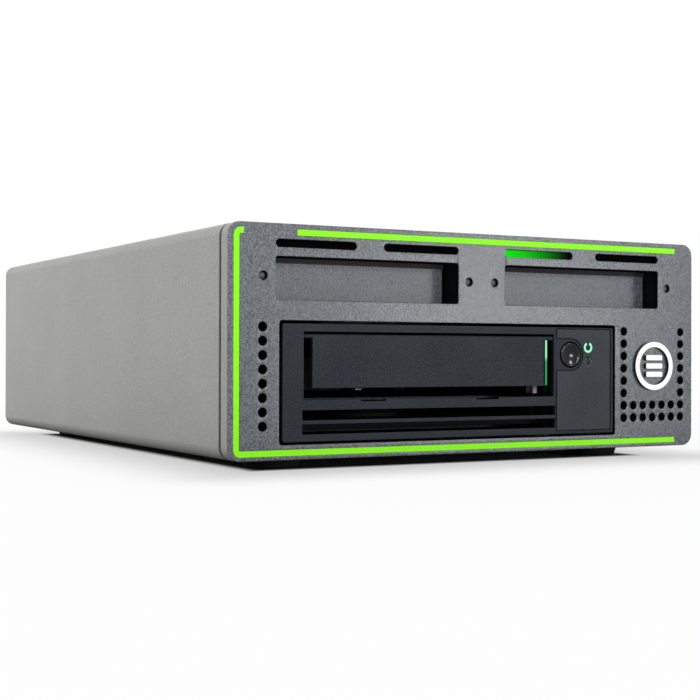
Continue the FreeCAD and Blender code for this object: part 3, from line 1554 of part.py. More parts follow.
fan_screw = screw("fan_screw", cell.screw_head, cell.screw_head_height, cell.fan_hole - 0.2,
                  cell.rear_sheet + cell.fan_thickness / 2)
fan_screws = spread("fan_screws", fan_screw,
                    [(fan_x + x, rear_face, fan_z + z, to_front) for x, z in fan_corners])
gather("rear_screws", [inlet_screws, fan_screws])

# Interface board on the tray's standoffs, with its heat sink and the ports at the rear

board_top = standoff_top + cell.board_thickness
board = new_body("interface_board")
pad(board, "Z", standoff_top, board_top,
    rect(board_left, board_left + cell.board_width, board_front, rear_inner - 0.3))
pad(board, "Z", board_top, board_top + cell.chip_height,
    centred(board_left + 10, board_front + 34, size(12), size(12)),
    centred(board_left + 62, board_front + 12, size(14), size(10)),
    centred(board_left + 66, board_front + 26, size(8), size(6)))
pad(board, "Z", board_top, board_top + cell.connector_height,
    centred(board_left + 13, board_front + 3, size(22), size(5)))

sink = new_body("board_heat_sink")
sink_left = board_left + 24
sink_front = board_front + 8
fin_pitch = cell.sink_fin + cell.sink_gap
fin_count = int((sizes["sink_side"] + sizes["sink_gap"]) / fin_pitch.value + 0.001)
pad(sink, "Z", board_top, board_top + cell.sink_base,
    rect(sink_left, sink_left + cell.sink_side, sink_front, sink_front + cell.sink_side))
pad(sink, "Z", board_top + cell.sink_base, board_top + cell.sink_height,
    *[rect(sink_left + fin_pitch * fin, sink_left + fin_pitch * fin + cell.sink_fin,
           sink_front, sink_front + cell.sink_side) for fin in range(fin_count)])

usb_xs = [across(cell.usb_across), across(cell.usb_across + cell.usb_pitch)]
usb_z = board_top + cell.usb_height / 2
usb_back = rear_face + 0.4
usb_front = usb_back - cell.usb_length
usb_round = cell.usb_height * 0.42
usb = new_body("usb_ports")
pad(usb, "Y", usb_front, usb_back,
    *[centred(x, usb_z, cell.usb_width, cell.usb_height, usb_round) for x in usb_xs])
pocket(usb, "Y", usb_front + 1.5, usb_back,
       *[centred(x, usb_z, cell.usb_width - 2 * cell.usb_wall, cell.usb_height - 2 * cell.usb_wall,
                 usb_round - cell.usb_wall) for x in usb_xs])
pad(usb, "Y", usb_front + 1.5, usb_back - 1,
    *[centred(x, usb_z, cell.usb_width - 2.3, cell.usb_tongue) for x in usb_xs])

port_left = across(cell.port_across)
port_right = port_left + cell.port_width
port_top = board_top + cell.port_height
port_back = rear_face + 0.6
port_front = port_back - cell.port_length
port = new_body("storage_port")
pad(port, "Y", port_front, port_back,
    rect(port_left, port_right, board_top, port_top, cell.port_wall))
pocket(port, "Y", port_back - cell.port_cavity, port_back,
       rect(port_left + cell.port_wall, port_right - cell.port_wall,
            board_top + cell.port_wall, port_top - cell.port_wall))
port_middle = (board_top + port_top) / 2
pad(port, "Y", port_back - cell.port_cavity, port_back - 4,
    rect(port_left + 4, port_right - 4,
         port_middle - cell.port_card / 2, port_middle + cell.port_card / 2))

# Rear panel inside the sleeve's end

back_panel = new_body("rear_panel")
pad(back_panel, "Y", rear_inner, rear_face, case_rect(liner_inset))
for x in case_screw_xs:
    pad(back_panel, "Z", tray_top, tray_top + cell.sheet,
        rect(x - 7, x + 7, rear_inner - cell.rear_flange, rear_inner))
    pocket(back_panel, "Z", tray_top, tray_top + cell.sheet,
           circle(x, case_screw_ys[1], cell.screw_shank + 2 * cell.pin_clearance))
grille_step = cell.grille_slot + cell.grille_web
spoke = 6
rings = [cell.grille_centre + grille_step * ring for ring in range(int(sizes["grille_rings"]))]
grille_slots = pocket(back_panel, "Y", rear_inner, rear_face,
                      *[sector(ring, ring + cell.grille_slot, spoke,
                               360 / sizes["grille_sectors"] - spoke) for ring in rings],
                      centre=(fan_x, fan_z))
repeat_round(back_panel, grille_slots, cell.grille_sectors)
vent_xs = [across(cell.rear_vent_across) + (cell.rear_vent_length + 6) * step for step in (0, 1)]
vent_zs = [above(cell.rear_vent_above) + cell.rear_vent_pitch * step for step in range(7)]
pocket(back_panel, "Y", rear_inner, rear_face,
       *[circle(fan_x + x, fan_z + z, cell.fan_hole) for x, z in fan_corners],
       *[obround(x, x + cell.rear_vent_length, z, cell.rear_vent_width)
         for x in vent_xs for z in vent_zs],
       centred(inlet_x, inlet_z, cell.inlet_body_width + 2 * cell.port_clearance,
               cell.inlet_body_height + 2 * cell.port_clearance),
       *[circle(inlet_x, z, side_screw_hole) for z in inlet_screw_zs],
       centred(inlet_x, rocker_z, cell.rocker_body_width + 2 * cell.port_clearance,
               cell.rocker_body_height + 2 * cell.port_clearance),
       *[centred(x, usb_z, cell.usb_width + 2 * cell.port_clearance,
                 cell.usb_height + 2 * cell.port_clearance, usb_round) for x in usb_xs],
       rect(port_left - cell.port_clearance, port_right + cell.port_clearance,
            board_top - cell.port_clearance, port_top + cell.port_clearance))

# Inner cables: the power lead from the supply to the drive's plug, and the data ribbon

cable_z = above(cell.cable_above)
cable_y = drive_back + cell.connector_depth + cell.cable_run
plug_x = across(cell.cable_plug_across)
pad(connector, "Y", drive_back, drive_back + cell.connector_depth,
    centred(plug_x, cable_z, size(16), size(8), size(0.8)))

lead = new_body("power_lead")


def lead_route(pen):
    start = Vector(supply_left.value, cable_y.value)
    bend = cell.cable_bend.value
    west = pen.line(start, Vector(plug_x.value + bend, start.y))
    corner = pen.arc(Vector(plug_x.value + bend, start.y - bend), bend, math.pi / 2, math.pi)
    end = (drive_back + cell.connector_depth).value
    south = pen.line(Vector(plug_x.value, start.y - bend), Vector(plug_x.value, end))
    pen.rule("Horizontal", west)
    pen.rule("Vertical", south)
    pen.rule("Tangent", west, 2, corner, 1)
    pen.rule("Tangent", corner, 2, south, 1)
    pen.hold("DistanceX", (-1, 1, west, 1), supply_left)
    pen.hold("DistanceY", (-1, 1, west, 1), cable_y)
    pen.hold("DistanceX", (-1, 1, south, 2), plug_x)
    pen.hold("DistanceY", (-1, 1, south, 2), drive_back + cell.connector_depth)
    pen.hold("Radius", (corner,), cell.cable_bend)


section = draw_on(lead, "X", supply_left, [circle(cable_y, cable_z, cell.cable_diameter)])
route = draw_on(lead, "Z", cable_z, [lead_route])
pipe = lead.newObject("PartDesign::AdditivePipe", "Pipe")
pipe.Profile = section
pipe.Spine = route

# The data ribbon hangs in one flat run from the drive's connector to the board's front edge.
ribbon_z = drive_bottom + 1 + cell.connector_height / 2
ribbon = new_body("data_ribbon")
pad(ribbon, "Z", ribbon_z - cell.ribbon_thickness / 2, ribbon_z + cell.ribbon_thickness / 2,
    polygon((connector_left + 4, drive_back + cell.connector_depth),
            (connector_left + 4 + cell.ribbon_width, drive_back + cell.connector_depth),
            (board_left + 4 + cell.ribbon_width, board_front + 0.5),
            (board_left + 4, board_front + 0.5)))
gather("inner_leads", [lead, ribbon])

# Checks, and one file for each sub-part

doc.recompute()
for thing in doc.Objects:
    failed = [word for word in thing.State if word in ("Invalid", "Error")]
    if failed:
        raise RuntimeError(f"{thing.Name} ({thing.Label}) is {failed[0]}")
    if thing.TypeId == "PartDesign::Pocket":
        if thing.Shape.Volume > thing.BaseFeature.Shape.Volume - 1e-3:
            raise RuntimeError(f"{thing.Name} cuts nothing")
os.makedirs("parts", exist_ok=True)
for part in made:
    if part.Shape.isNull() or not part.Shape.isValid() or not part.Shape.Solids:
        raise RuntimeError(f"{part.Label} is not a sound solid")
    part.Shape.exportStep(f"parts/{part.Label}.step")
print(f"{len(made)} sub-parts written")
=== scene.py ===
import bmesh, bpy, json, math
from mathutils import Matrix, Vector


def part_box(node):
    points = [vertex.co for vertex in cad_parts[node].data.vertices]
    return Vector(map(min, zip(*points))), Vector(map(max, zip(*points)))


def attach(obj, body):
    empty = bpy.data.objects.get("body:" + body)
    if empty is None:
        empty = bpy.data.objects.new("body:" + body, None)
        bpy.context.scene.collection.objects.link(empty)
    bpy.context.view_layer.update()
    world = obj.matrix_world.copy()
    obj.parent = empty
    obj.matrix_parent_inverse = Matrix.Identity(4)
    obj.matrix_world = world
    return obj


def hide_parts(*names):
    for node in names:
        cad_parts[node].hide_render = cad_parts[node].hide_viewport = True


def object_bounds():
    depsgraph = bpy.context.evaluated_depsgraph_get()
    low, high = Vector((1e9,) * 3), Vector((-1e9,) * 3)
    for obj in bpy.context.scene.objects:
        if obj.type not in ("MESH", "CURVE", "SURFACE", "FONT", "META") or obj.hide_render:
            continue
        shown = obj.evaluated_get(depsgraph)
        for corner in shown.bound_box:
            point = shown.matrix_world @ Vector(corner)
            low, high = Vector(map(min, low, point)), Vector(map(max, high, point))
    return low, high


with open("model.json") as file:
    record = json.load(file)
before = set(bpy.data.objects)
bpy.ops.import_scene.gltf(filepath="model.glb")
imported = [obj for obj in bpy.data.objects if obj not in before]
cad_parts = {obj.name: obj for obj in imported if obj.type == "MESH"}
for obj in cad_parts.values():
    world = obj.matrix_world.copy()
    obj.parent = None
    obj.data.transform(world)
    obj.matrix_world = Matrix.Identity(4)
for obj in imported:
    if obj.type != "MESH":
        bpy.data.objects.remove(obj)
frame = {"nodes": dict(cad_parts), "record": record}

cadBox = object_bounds()
mm = 0.001
nodes = frame["nodes"]
bodyOf = {node: body for body, members in frame["record"]["behaviour"]["bodies"].items()
          for node in members}
slotOf = {part["node"]: part["material_slot"] for part in frame["record"]["subparts"]}
print("frame loaded:", len(nodes), "nodes")


camera = {
    "place": (-0.29682, -0.58041, 0.04155),
    "turn": -28.826, "tip": 0.233, "roll": 0.145,   # degrees
    "lens": 70.84, "sensor": 36.0,
}


def addCamera():
    data = bpy.data.cameras.new("camera")
    data.lens, data.sensor_width = camera["lens"], camera["sensor"]
    data.clip_start, data.clip_end = 0.02, 60.0
    view = bpy.data.objects.new("camera", data)
    turned = (Matrix.Rotation(math.radians(camera["turn"]), 4, "Z")
              @ Matrix.Rotation(math.radians(90 + camera["tip"]), 4, "X")
              @ Matrix.Rotation(math.radians(camera["roll"]), 4, "Z"))
    view.matrix_world = Matrix.Translation(camera["place"]) @ turned
    bpy.context.scene.collection.objects.link(view)
    bpy.context.scene.camera = view


def mathNode(tree, operation, *values):
    node = tree.nodes.new("ShaderNodeMath")
    node.operation = operation
    for socket, value in zip(node.inputs, values):
        if isinstance(value, (int, float)):
            socket.default_value = value
        else:
            tree.links.new(value, socket)
    return node.outputs[0]


def ramp(tree, value, low, high, lowResult=0.0, highResult=1.0):
    node = tree.nodes.new("ShaderNodeMapRange")
    node.interpolation_type = "SMOOTHSTEP"
    tree.links.new(value, node.inputs["Value"])
    for name, setting in (("From Min", low), ("From Max", high),
                          ("To Min", lowResult), ("To Max", highResult)):
        node.inputs[name].default_value = setting
    return node.outputs["Result"]


def mixColour(tree, factor, first, second, blend="MIX"):
    node = tree.nodes.new("ShaderNodeMix")
    node.data_type = "RGBA"
    node.blend_type = blend
    for socket, value in ((node.inputs["Factor"], factor), (node.inputs["A"], first),
                          (node.inputs["B"], second)):
        if isinstance(value, (int, float)):
            socket.default_value = value
        elif isinstance(value, tuple):
            socket.default_value = (*value, 1.0)
        else:
            tree.links.new(value, socket)
    return node.outputs["Result"]


studio = {
    "worldStrength": 0.4,
    "worldColour": (0.96, 0.98, 1.0, 1.0),
    "floorColour": (0.6, 0.6, 0.6),
    "floorHalf": 30.0,            # metres
    # how much of the floor shows as plain white, by the distance from the footprint in metres; the low share
    # under and near the footprint is a painted contact shadow
    "paintedContactShadow": (-0.02, -0.012, 0.6),    # starts, ends, and the share that it rises to
    "near": (0.045, 0.94),              # where the next rise ends, and its share
    "far": (0.25, 1.0),                 # where the rise to all of it starts and ends
    "mirrored": (0.0, 0.08),            # where polished pieces begin to mirror the white, and mirror all; nearer the footprint they mirror the darkened floor, a painted shade in their reflections
    "shade": (0.0, 0.07, 0.3),          # painted shadow: where the floor's colour, darkened under and near the footprint, rises to full, from this share
    "lamps": [                    # name, place, aimed at, width, height, watts
        ("sideBox", (-1.15, 0.45, 0.62), (-0.1, 0.05, 0.04), 0.9, 0.7, 15.5),
        ("frontStrip", (-0.02, -1.2, 0.285), (0.0, -0.145, 0.055), 0.4, 0.08, 3.7),
        ("frontHigh", (0.0, -1.2, 0.47), (0.0, -0.145, 0.055), 0.4, 0.1, 1.5),
        ("frontLow", (0.66, -1.12, 0.09), (0.0, -0.145, 0.05), 0.15, 0.05, 2.1),
        ("buttonGlint", (0.72, -1.0, 0.42), (0.04, -0.145, 0.042), 0.13, 0.1, 2.0),
        ("topBox", (-0.1, 0.15, 2.0), (0.0, 0.0, 0.05), 1.1, 1.1, 7.0),
        ("rearBox", (0.55, 1.2, 0.75), (0.0, 0.1, 0.05), 0.8, 0.6, 5.0),
    ],
}


def addWorld():
    world = bpy.data.worlds.new("studio")
    bpy.context.scene.world = world
    world.use_nodes = True
    tree = world.node_tree
    tree.nodes.clear()
    path = tree.nodes.new("ShaderNodeLightPath")
    seen = mathNode(tree, "MAXIMUM", path.outputs["Is Camera Ray"], path.outputs["Is Glossy Ray"])
    seen = mathNode(tree, "MAXIMUM", seen, path.outputs["Is Transmission Ray"])
    light = tree.nodes.new("ShaderNodeBackground")
    light.inputs["Color"].default_value = studio["worldColour"]
    light.inputs["Strength"].default_value = studio["worldStrength"]
    white = tree.nodes.new("ShaderNodeBackground")
    white.inputs["Color"].default_value = (1, 1, 1, 1)
    white.inputs["Strength"].default_value = 1.0
    mix = tree.nodes.new("ShaderNodeMixShader")
    out = tree.nodes.new("ShaderNodeOutputWorld")
    tree.links.new(seen, mix.inputs[0])
    tree.links.new(light.outputs[0], mix.inputs[1])
    tree.links.new(white.outputs[0], mix.inputs[2])
    tree.links.new(mix.outputs[0], out.inputs["Surface"])


def addLamps():
    for name, place, target, width, height, watts in studio["lamps"]:
        data = bpy.data.lights.new(name, "AREA")
        data.shape, data.size, data.size_y, data.energy = "RECTANGLE", width, height, watts
        lamp = bpy.data.objects.new(name, data)
        lamp.location = place
        lamp.rotation_euler = (Vector(target) - Vector(place)).to_track_quat("-Z", "Y").to_euler()
        bpy.context.scene.collection.objects.link(lamp)


def addFloor():
    half = studio["floorHalf"]
    mesh = bpy.data.meshes.new("floor")
    mesh.from_pydata([(-half, -half, 0), (half, -half, 0), (half, half, 0), (-half, half, 0)],
                     [], [(0, 1, 2, 3)])
    floor = bpy.data.objects.new("floor", mesh)
    bpy.context.scene.collection.objects.link(floor)
    material = bpy.data.materials.new("floor")
    material.use_nodes = True
    tree = material.node_tree
    shader = tree.nodes["Principled BSDF"]
    shader.inputs["Roughness"].default_value = 0.85
    shader.inputs["Specular IOR Level"].default_value = 0.15
    coords = tree.nodes.new("ShaderNodeTexCoord")
    axes = tree.nodes.new("ShaderNodeSeparateXYZ")
    tree.links.new(coords.outputs["Object"], axes.inputs[0])
    # distance from the footprint, below zero inside it
    reachX, reachY = (mathNode(tree, "SUBTRACT", mathNode(tree, "ABSOLUTE", axes.outputs[axis]), edge)
                      for axis, edge in (("X", cadBox[1].x), ("Y", cadBox[1].y)))
    outX, outY = mathNode(tree, "MAXIMUM", reachX, 0.0), mathNode(tree, "MAXIMUM", reachY, 0.0)
    squares = mathNode(tree, "ADD", mathNode(tree, "MULTIPLY", outX, outX),
                       mathNode(tree, "MULTIPLY", outY, outY))
    inside = mathNode(tree, "MINIMUM", mathNode(tree, "MAXIMUM", reachX, reachY), 0.0)
    distance = mathNode(tree, "ADD", mathNode(tree, "SQRT", squares), inside)
    contactStart, contactEnd, contactShare = studio["paintedContactShadow"]
    nearEnd, nearShare = studio["near"]
    # painted contact shadow: the floor's white held back under and near the footprint
    paintedContactShadow = ramp(tree, distance, contactStart, contactEnd, 0.0, contactShare)
    near = ramp(tree, distance, contactEnd, nearEnd, 0.0, nearShare - contactShare)
    far = ramp(tree, distance, *studio["far"], 0.0, 1.0 - nearShare)
    glow = mathNode(tree, "ADD", paintedContactShadow, mathNode(tree, "ADD", near, far))
    path = tree.nodes.new("ShaderNodeLightPath")
    # painted shade in reflections: near the footprint, polished pieces don't mirror the white
    glossy = mathNode(tree, "MULTIPLY", path.outputs["Is Glossy Ray"],
                      ramp(tree, distance, *studio["mirrored"]))
    seen = mathNode(tree, "MAXIMUM", path.outputs["Is Camera Ray"], glossy)
    # painted shadow: the floor's colour darkened under and near the footprint
    rise = ramp(tree, distance, *studio["shade"])
    tree.links.new(mixColour(tree, rise, (0, 0, 0), studio["floorColour"]), shader.inputs["Base Color"])
    white = tree.nodes.new("ShaderNodeEmission")
    white.inputs["Strength"].default_value = 1.0
    mix = tree.nodes.new("ShaderNodeMixShader")
    tree.links.new(mathNode(tree, "MULTIPLY", glow, seen), mix.inputs[0])
    tree.links.new(shader.outputs[0], mix.inputs[1])
    tree.links.new(white.outputs[0], mix.inputs[2])
    tree.links.new(mix.outputs[0], tree.nodes["Material Output"].inputs["Surface"])
    mesh.materials.append(material)


bpy.context.scene.view_settings.view_transform = "Standard"
addCamera()
addWorld()
addLamps()
addFloor()
print("camera, lamps and floor ready")


def startMaterial(name, colour, roughness, metallic=0.0, specular=0.5):
    material = bpy.data.materials.new(name)
    material.use_nodes = True
    tree = material.node_tree
    shader = tree.nodes["Principled BSDF"]
    shader.inputs["Base Color"].default_value = (*colour, 1.0)
    shader.inputs["Roughness"].default_value = roughness
    shader.inputs["Metallic"].default_value = metallic
    shader.inputs["Specular IOR Level"].default_value = specular
    coords = tree.nodes.new("ShaderNodeTexCoord")
    return material, tree, shader, coords.outputs["Object"]


def noise(tree, place, grain, detail=2.0, stretch=None):
    # grain is the size of one fleck, in metres
    if stretch:
        mapping = tree.nodes.new("ShaderNodeMapping")
        mapping.inputs["Scale"].default_value = stretch
        tree.links.new(place, mapping.inputs["Vector"])
        place = mapping.outputs["Vector"]
    node = tree.nodes.new("ShaderNodeTexNoise")
    node.inputs["Scale"].default_value = 1 / grain
    node.inputs["Detail"].default_value = detail
    tree.links.new(place, node.inputs["Vector"])
    return node.outputs["Fac"]


def shades(tree, value, *stops):
    node = tree.nodes.new("ShaderNodeValToRGB")
    ends = node.color_ramp.elements
    while len(ends) < len(stops):
        ends.new(0.5)
    for end, (place, colour) in zip(ends, stops):
        end.position = place
        end.color = (*colour, 1.0)
    tree.links.new(value, node.inputs["Fac"])
    return node.outputs["Color"]


def tinted(colour, share):
    return tuple(min(1.0, channel * share) for channel in colour)


def bump(tree, shader, height, depth):
    node = tree.nodes.new("ShaderNodeBump")
    node.inputs["Strength"].default_value = 1.0
    node.inputs["Distance"].default_value = depth
    tree.links.new(height, node.inputs["Height"])
    tree.links.new(node.outputs["Normal"], shader.inputs["Normal"])


def speckledPaint(name, colour, grain, contrast, roughness, depth, cloud=0.06, specular=0.35):
    # powder coat: light and dark flecks over a faint large cloud, on an orange-peel surface
    material, tree, shader, place = startMaterial(name, colour, roughness, specular=specular)
    flecks = noise(tree, place, grain, 3.0)
    speckle = shades(tree, flecks, (0.36, tinted(colour, 1 - contrast)), (0.5, colour),
                     (0.64, tinted(colour, 1 + contrast)))
    clouds = shades(tree, noise(tree, place, 0.035, 2.0),
                    (0.35, (1 - cloud,) * 3), (0.65, (1 + cloud,) * 3))
    tree.links.new(mixColour(tree, 1.0, speckle, clouds, "MULTIPLY"), shader.inputs["Base Color"])
    sheen = ramp(tree, flecks, 0.3, 0.7, roughness - 0.05, roughness + 0.08)
    tree.links.new(sheen, shader.inputs["Roughness"])
    bump(tree, shader, noise(tree, place, grain * 1.4, 2.0), depth)
    return material


def mouldedPlastic(name, colour, grain, contrast, roughness, depth, specular=0.3):
    # spark-eroded mould texture
    material, tree, shader, place = startMaterial(name, colour, roughness, specular=specular)
    grains = noise(tree, place, grain, 2.0)
    speckle = shades(tree, grains, (0.38, tinted(colour, 1 - contrast)),
                     (0.62, tinted(colour, 1 + contrast)))
    tree.links.new(speckle, shader.inputs["Base Color"])
    tree.links.new(ramp(tree, noise(tree, place, 0.02), 0.3, 0.7, roughness - 0.05, roughness + 0.05),
                   shader.inputs["Roughness"])
    bump(tree, shader, grains, depth)
    return material


def glossPlastic(name, colour, roughness, specular=0.5):
    material, tree, shader, place = startMaterial(name, colour, roughness, specular=specular)
    smears = noise(tree, place, 0.004, 3.0)
    tree.links.new(ramp(tree, smears, 0.35, 0.75, roughness, roughness + 0.08), shader.inputs["Roughness"])
    tree.links.new(shades(tree, smears, (0.3, colour), (0.8, tinted(colour, 1.12))),
                   shader.inputs["Base Color"])
    return material


def platedMetal(name, colour, roughness, stretch, contrast=0.12):
    # rolled sheet: fine streaks along one axis
    material, tree, shader, place = startMaterial(name, colour, roughness, metallic=1.0)
    streaks = noise(tree, place, 0.0012, 4.0, stretch)
    spangle = noise(tree, place, 0.006, 1.0)
    tone = mixColour(tree, 0.4, shades(tree, streaks, (0.35, tinted(colour, 1 - contrast)), (0.65, colour)),
                     shades(tree, spangle, (0.4, tinted(colour, 1 - contrast)), (0.6, colour)))
    tree.links.new(tone, shader.inputs["Base Color"])
    tree.links.new(ramp(tree, streaks, 0.3, 0.7, roughness - 0.06, roughness + 0.1),
                   shader.inputs["Roughness"])
    bump(tree, shader, streaks, 0.00001)
    return material


def boardMaterial(name, mask, copper):
    # solder mask with a faint pattern of tracks below it
    material, tree, shader, place = startMaterial(name, mask, 0.45, specular=0.12)
    brick = tree.nodes.new("ShaderNodeTexBrick")
    brick.inputs["Scale"].default_value = 190.0
    brick.inputs["Mortar Size"].default_value = 0.06
    brick.inputs["Color1"].default_value = (*mask, 1.0)
    brick.inputs["Color2"].default_value = (*tinted(mask, 1.25), 1.0)
    brick.inputs["Mortar"].default_value = (*copper, 1.0)
    tree.links.new(place, brick.inputs["Vector"])
    tree.links.new(brick.outputs["Color"], shader.inputs["Base Color"])
    return material


def glowing(name, colour, strength, base=(0.004, 0.004, 0.004), fade=None):
    # fade: where along X the light starts and ends
    material, tree, shader, place = startMaterial(name, base, 0.4, specular=0.0)
    shader.inputs["Emission Color"].default_value = (*colour, 1.0)
    shader.inputs["Emission Strength"].default_value = strength
    if fade:
        axes = tree.nodes.new("ShaderNodeSeparateXYZ")
        tree.links.new(place, axes.inputs[0])
        tree.links.new(ramp(tree, axes.outputs["X"], *fade, strength, 0.0),
                       shader.inputs["Emission Strength"])
    return material


# painted light on the door's edge: its colours, and where it is bright and where it dims
doorLight = {
    "colour": (0.42, 1.0, 0.6), "dimColour": (0.04, 0.36, 0.15),
    "core": 0.2, "edge": 0.5, "edgeShare": 0.04,      # from its middle, by its width, and the light left
    "dimBelow": 9 * mm, "rise": 2.5 * mm,             # up from its foot
}


def paintedDoorGlow():
    # painted light: green light from inside the drive falling on the door's edge, drawn as a glowing strip
    # with a narrow bright core between dark sides, dim in its lower half
    low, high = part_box("door_light_strip")
    material, tree, shader, place = startMaterial("doorLight", (0.004, 0.004, 0.004), 0.4, specular=0.0)
    axes = tree.nodes.new("ShaderNodeSeparateXYZ")
    tree.links.new(place, axes.inputs[0])
    aside = mathNode(tree, "ABSOLUTE",
                     mathNode(tree, "SUBTRACT", axes.outputs["X"], (low.x + high.x) / 2))
    width = high.x - low.x
    tree.links.new(ramp(tree, aside, doorLight["core"] * width, doorLight["edge"] * width,
                        1.0, doorLight["edgeShare"]), shader.inputs["Emission Strength"])
    level = low.z + doorLight["dimBelow"]
    height = ramp(tree, axes.outputs["Z"], level, level + doorLight["rise"])
    tree.links.new(shades(tree, height, (0.0, doorLight["dimColour"]), (1.0, doorLight["colour"])),
                   shader.inputs["Emission Color"])
    return material


panelGrey = (0.083, 0.093, 0.107)
# partly painted light: the sleeve's grey is lighter than the front panel's, partly its own tone and partly
# the light on its lit side
sleeveGrey = (0.225, 0.228, 0.213)
bezelGrey = (0.013, 0.017, 0.023)
coverGrey = (0.018, 0.022, 0.028)
lime = (0.25, 0.88, 0.006)

# paints and moulded plastics: colour, grain in metres, contrast of the flecks, roughness, depth of the grain
# metals: colour, roughness, how the streaks are squeezed along X, Y and Z
finishes = {
    "sleeve_paint": speckledPaint("sleevePaint", sleeveGrey, 0.0007, 0.16, 0.52, 0.00003, 0.035),
    "panel_paint": speckledPaint("panelPaint", panelGrey, 0.0005, 0.5, 0.25, 0.00009, 0.04, specular=0.42),
    # partly painted shade: near-black sheet in the seam behind the panel and inside the bays, partly its own
    # black and partly shade
    "black_sheet": speckledPaint("blackSheet", (0.006, 0.006, 0.007), 0.0006, 0.2, 0.7, 0.00002,
                                 specular=0.15),
    "lime_paint": speckledPaint("limePaint", lime, 0.0009, 0.03, 0.45, 0.00001, 0.02, 0.15),
    "white_badge": glossPlastic("badgeWhite", (0.84, 0.85, 0.85), 0.3),
    "plated_sheet": platedMetal("platedSheet", (0.62, 0.63, 0.64), 0.38, (1.0, 0.08, 1.0)),
    "steel_sheet": platedMetal("steelSheet", (0.2, 0.2, 0.205), 0.4, (1.0, 0.1, 1.0)),
    "black_rubber": mouldedPlastic("rubber", (0.014, 0.014, 0.014), 0.0006, 0.3, 0.8, 0.00004, 0.3),
    "black_screw": platedMetal("blackOxide", (0.05, 0.05, 0.052), 0.42, (1.0, 1.0, 1.0)),
    "bright_screw": platedMetal("zincScrew", (0.36, 0.36, 0.355), 0.34, (1.0, 1.0, 1.0)),
    "green_board": boardMaterial("greenBoard", (0.003, 0.02, 0.01), (0.006, 0.045, 0.016)),
    "smoked_guide": glossPlastic("smokedGuide", (0.002, 0.002, 0.002), 0.5, 0.0),
    # partly painted shade: near black, partly a black casting and partly the shade of the drive's unlit
    # inside
    "cast_alloy": speckledPaint("castAlloy", (0.006, 0.006, 0.0065), 0.0009, 0.12, 0.65, 0.00005,
                                specular=0.04),
    "bezel_plastic": mouldedPlastic("bezelPlastic", bezelGrey, 0.0005, 0.55, 0.55, 0.0001, 0.15),
    "gloss_button": glossPlastic("buttonBlack", (0.003, 0.003, 0.003), 0.1, 0.22),
    "green_light": paintedDoorGlow(),
    "white_light": glowing("iconLight", (0.42, 1.0, 0.66), 1.0),
    "grey_plastic": mouldedPlastic("greyPlastic", (0.33, 0.33, 0.31), 0.0006, 0.1, 0.45, 0.00002),
    "motor_steel": platedMetal("motorSteel", (0.5, 0.5, 0.5), 0.35, (1.0, 1.0, 0.1)),
    "reel_plastic": glossPlastic("reelPlastic", (0.07, 0.07, 0.075), 0.2),
    "steel_pin": platedMetal("groundPin", (0.7, 0.7, 0.71), 0.18, (1.0, 1.0, 1.0), 0.05),
    "head_ceramic": glossPlastic("headCeramic", (0.12, 0.12, 0.125), 0.15),
    "black_plastic": mouldedPlastic("blackPlastic", (0.012, 0.012, 0.013), 0.0006, 0.2, 0.42, 0.00002),
    "black_alloy": speckledPaint("blackAlloy", (0.02, 0.02, 0.021), 0.0006, 0.2, 0.4, 0.00002),
    "black_cable": mouldedPlastic("cableJacket", (0.012, 0.012, 0.012), 0.001, 0.15, 0.45, 0.00002),
}
for node, thing in nodes.items():
    thing.data.materials.clear()
    thing.data.materials.append(finishes[slotOf[node]])
print("materials ready:", len(finishes))


def settle(thing, body, slot, *stoodFor):
    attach(thing, body)
    if stoodFor:
        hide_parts(*stoodFor)


shading = {"easeFrom": 32, "smoothTo": 40}    # degrees: corners sharper than the first are eased, flatter
                                              # ones than the second are shaded as one surface


def mergedCopy(node):
    mesh = bmesh.new()
    mesh.from_mesh(nodes[node].data)
    bmesh.ops.remove_doubles(mesh, verts=mesh.verts, dist=0.002 * mm)
    return mesh


def easeEdges(mesh, width, steps):
    sharp = [edge for edge in mesh.edges if len(edge.link_faces) == 2
             and edge.calc_face_angle(0) > math.radians(shading["easeFrom"])]
    bmesh.ops.bevel(mesh, geom=sharp, offset=width, offset_type="OFFSET", segments=steps, profile=0.5,
                    affect="EDGES", clamp_overlap=False, loop_slide=False)


def shadeByAngle(data):
    data.polygons.foreach_set("use_smooth", [True] * len(data.polygons))
    data.set_sharp_from_angle(angle=math.radians(shading["smoothTo"]))


def finishMesh(mesh, name, materials):
    data = bpy.data.meshes.new(name)
    mesh.to_mesh(data)
    mesh.free()
    for material in materials:
        data.materials.append(material)
    shadeByAngle(data)
    thing = bpy.data.objects.new(name, data)
    bpy.context.scene.collection.objects.link(thing)
    weighted = thing.modifiers.new("weighted", "WEIGHTED_NORMAL")
    weighted.keep_sharp = True
    weighted.weight = 90
    return bakedThing(thing)


def bakedThing(thing):
    # turns the object with its modifiers into a plain mesh
    shown = thing.evaluated_get(bpy.context.evaluated_depsgraph_get())
    data = bpy.data.meshes.new_from_object(shown)
    data.name = thing.name
    thing.modifiers.clear()
    thing.data = data
    return thing


# node: name of the piece, width of its eased edges, steps
eased = {
    "outer_sleeve": ("sleeve", 0.22 * mm, 2),
    "front_panel": ("frontPanel", 0.2 * mm, 2),
    "rear_panel": ("rearPanel", 0.12 * mm, 1),
    "drive_bezel": ("driveBezel", 0.16 * mm, 2),
    "bezel_side_cover": ("sideCover", 0.1 * mm, 2),
    "cartridge_door": ("cartridgeDoor", 0.16 * mm, 2),
    "bay_blank_left": ("leftBlank", 0.15 * mm, 2),
    "bay_blank_right": ("rightBlank", 0.15 * mm, 2),
    "mains_inlet": ("mainsInlet", 0.25 * mm, 2),
    "switch_housing": ("switchHousing", 0.25 * mm, 2),
    "power_rocker": ("powerRocker", 0.25 * mm, 2),
    "fan_frame": ("fanFrame", 0.25 * mm, 1),
    "storage_port": ("storagePort", 0.1 * mm, 1),
    "cartridge_lever": ("cartridgeLever", 0.2 * mm, 2),
}
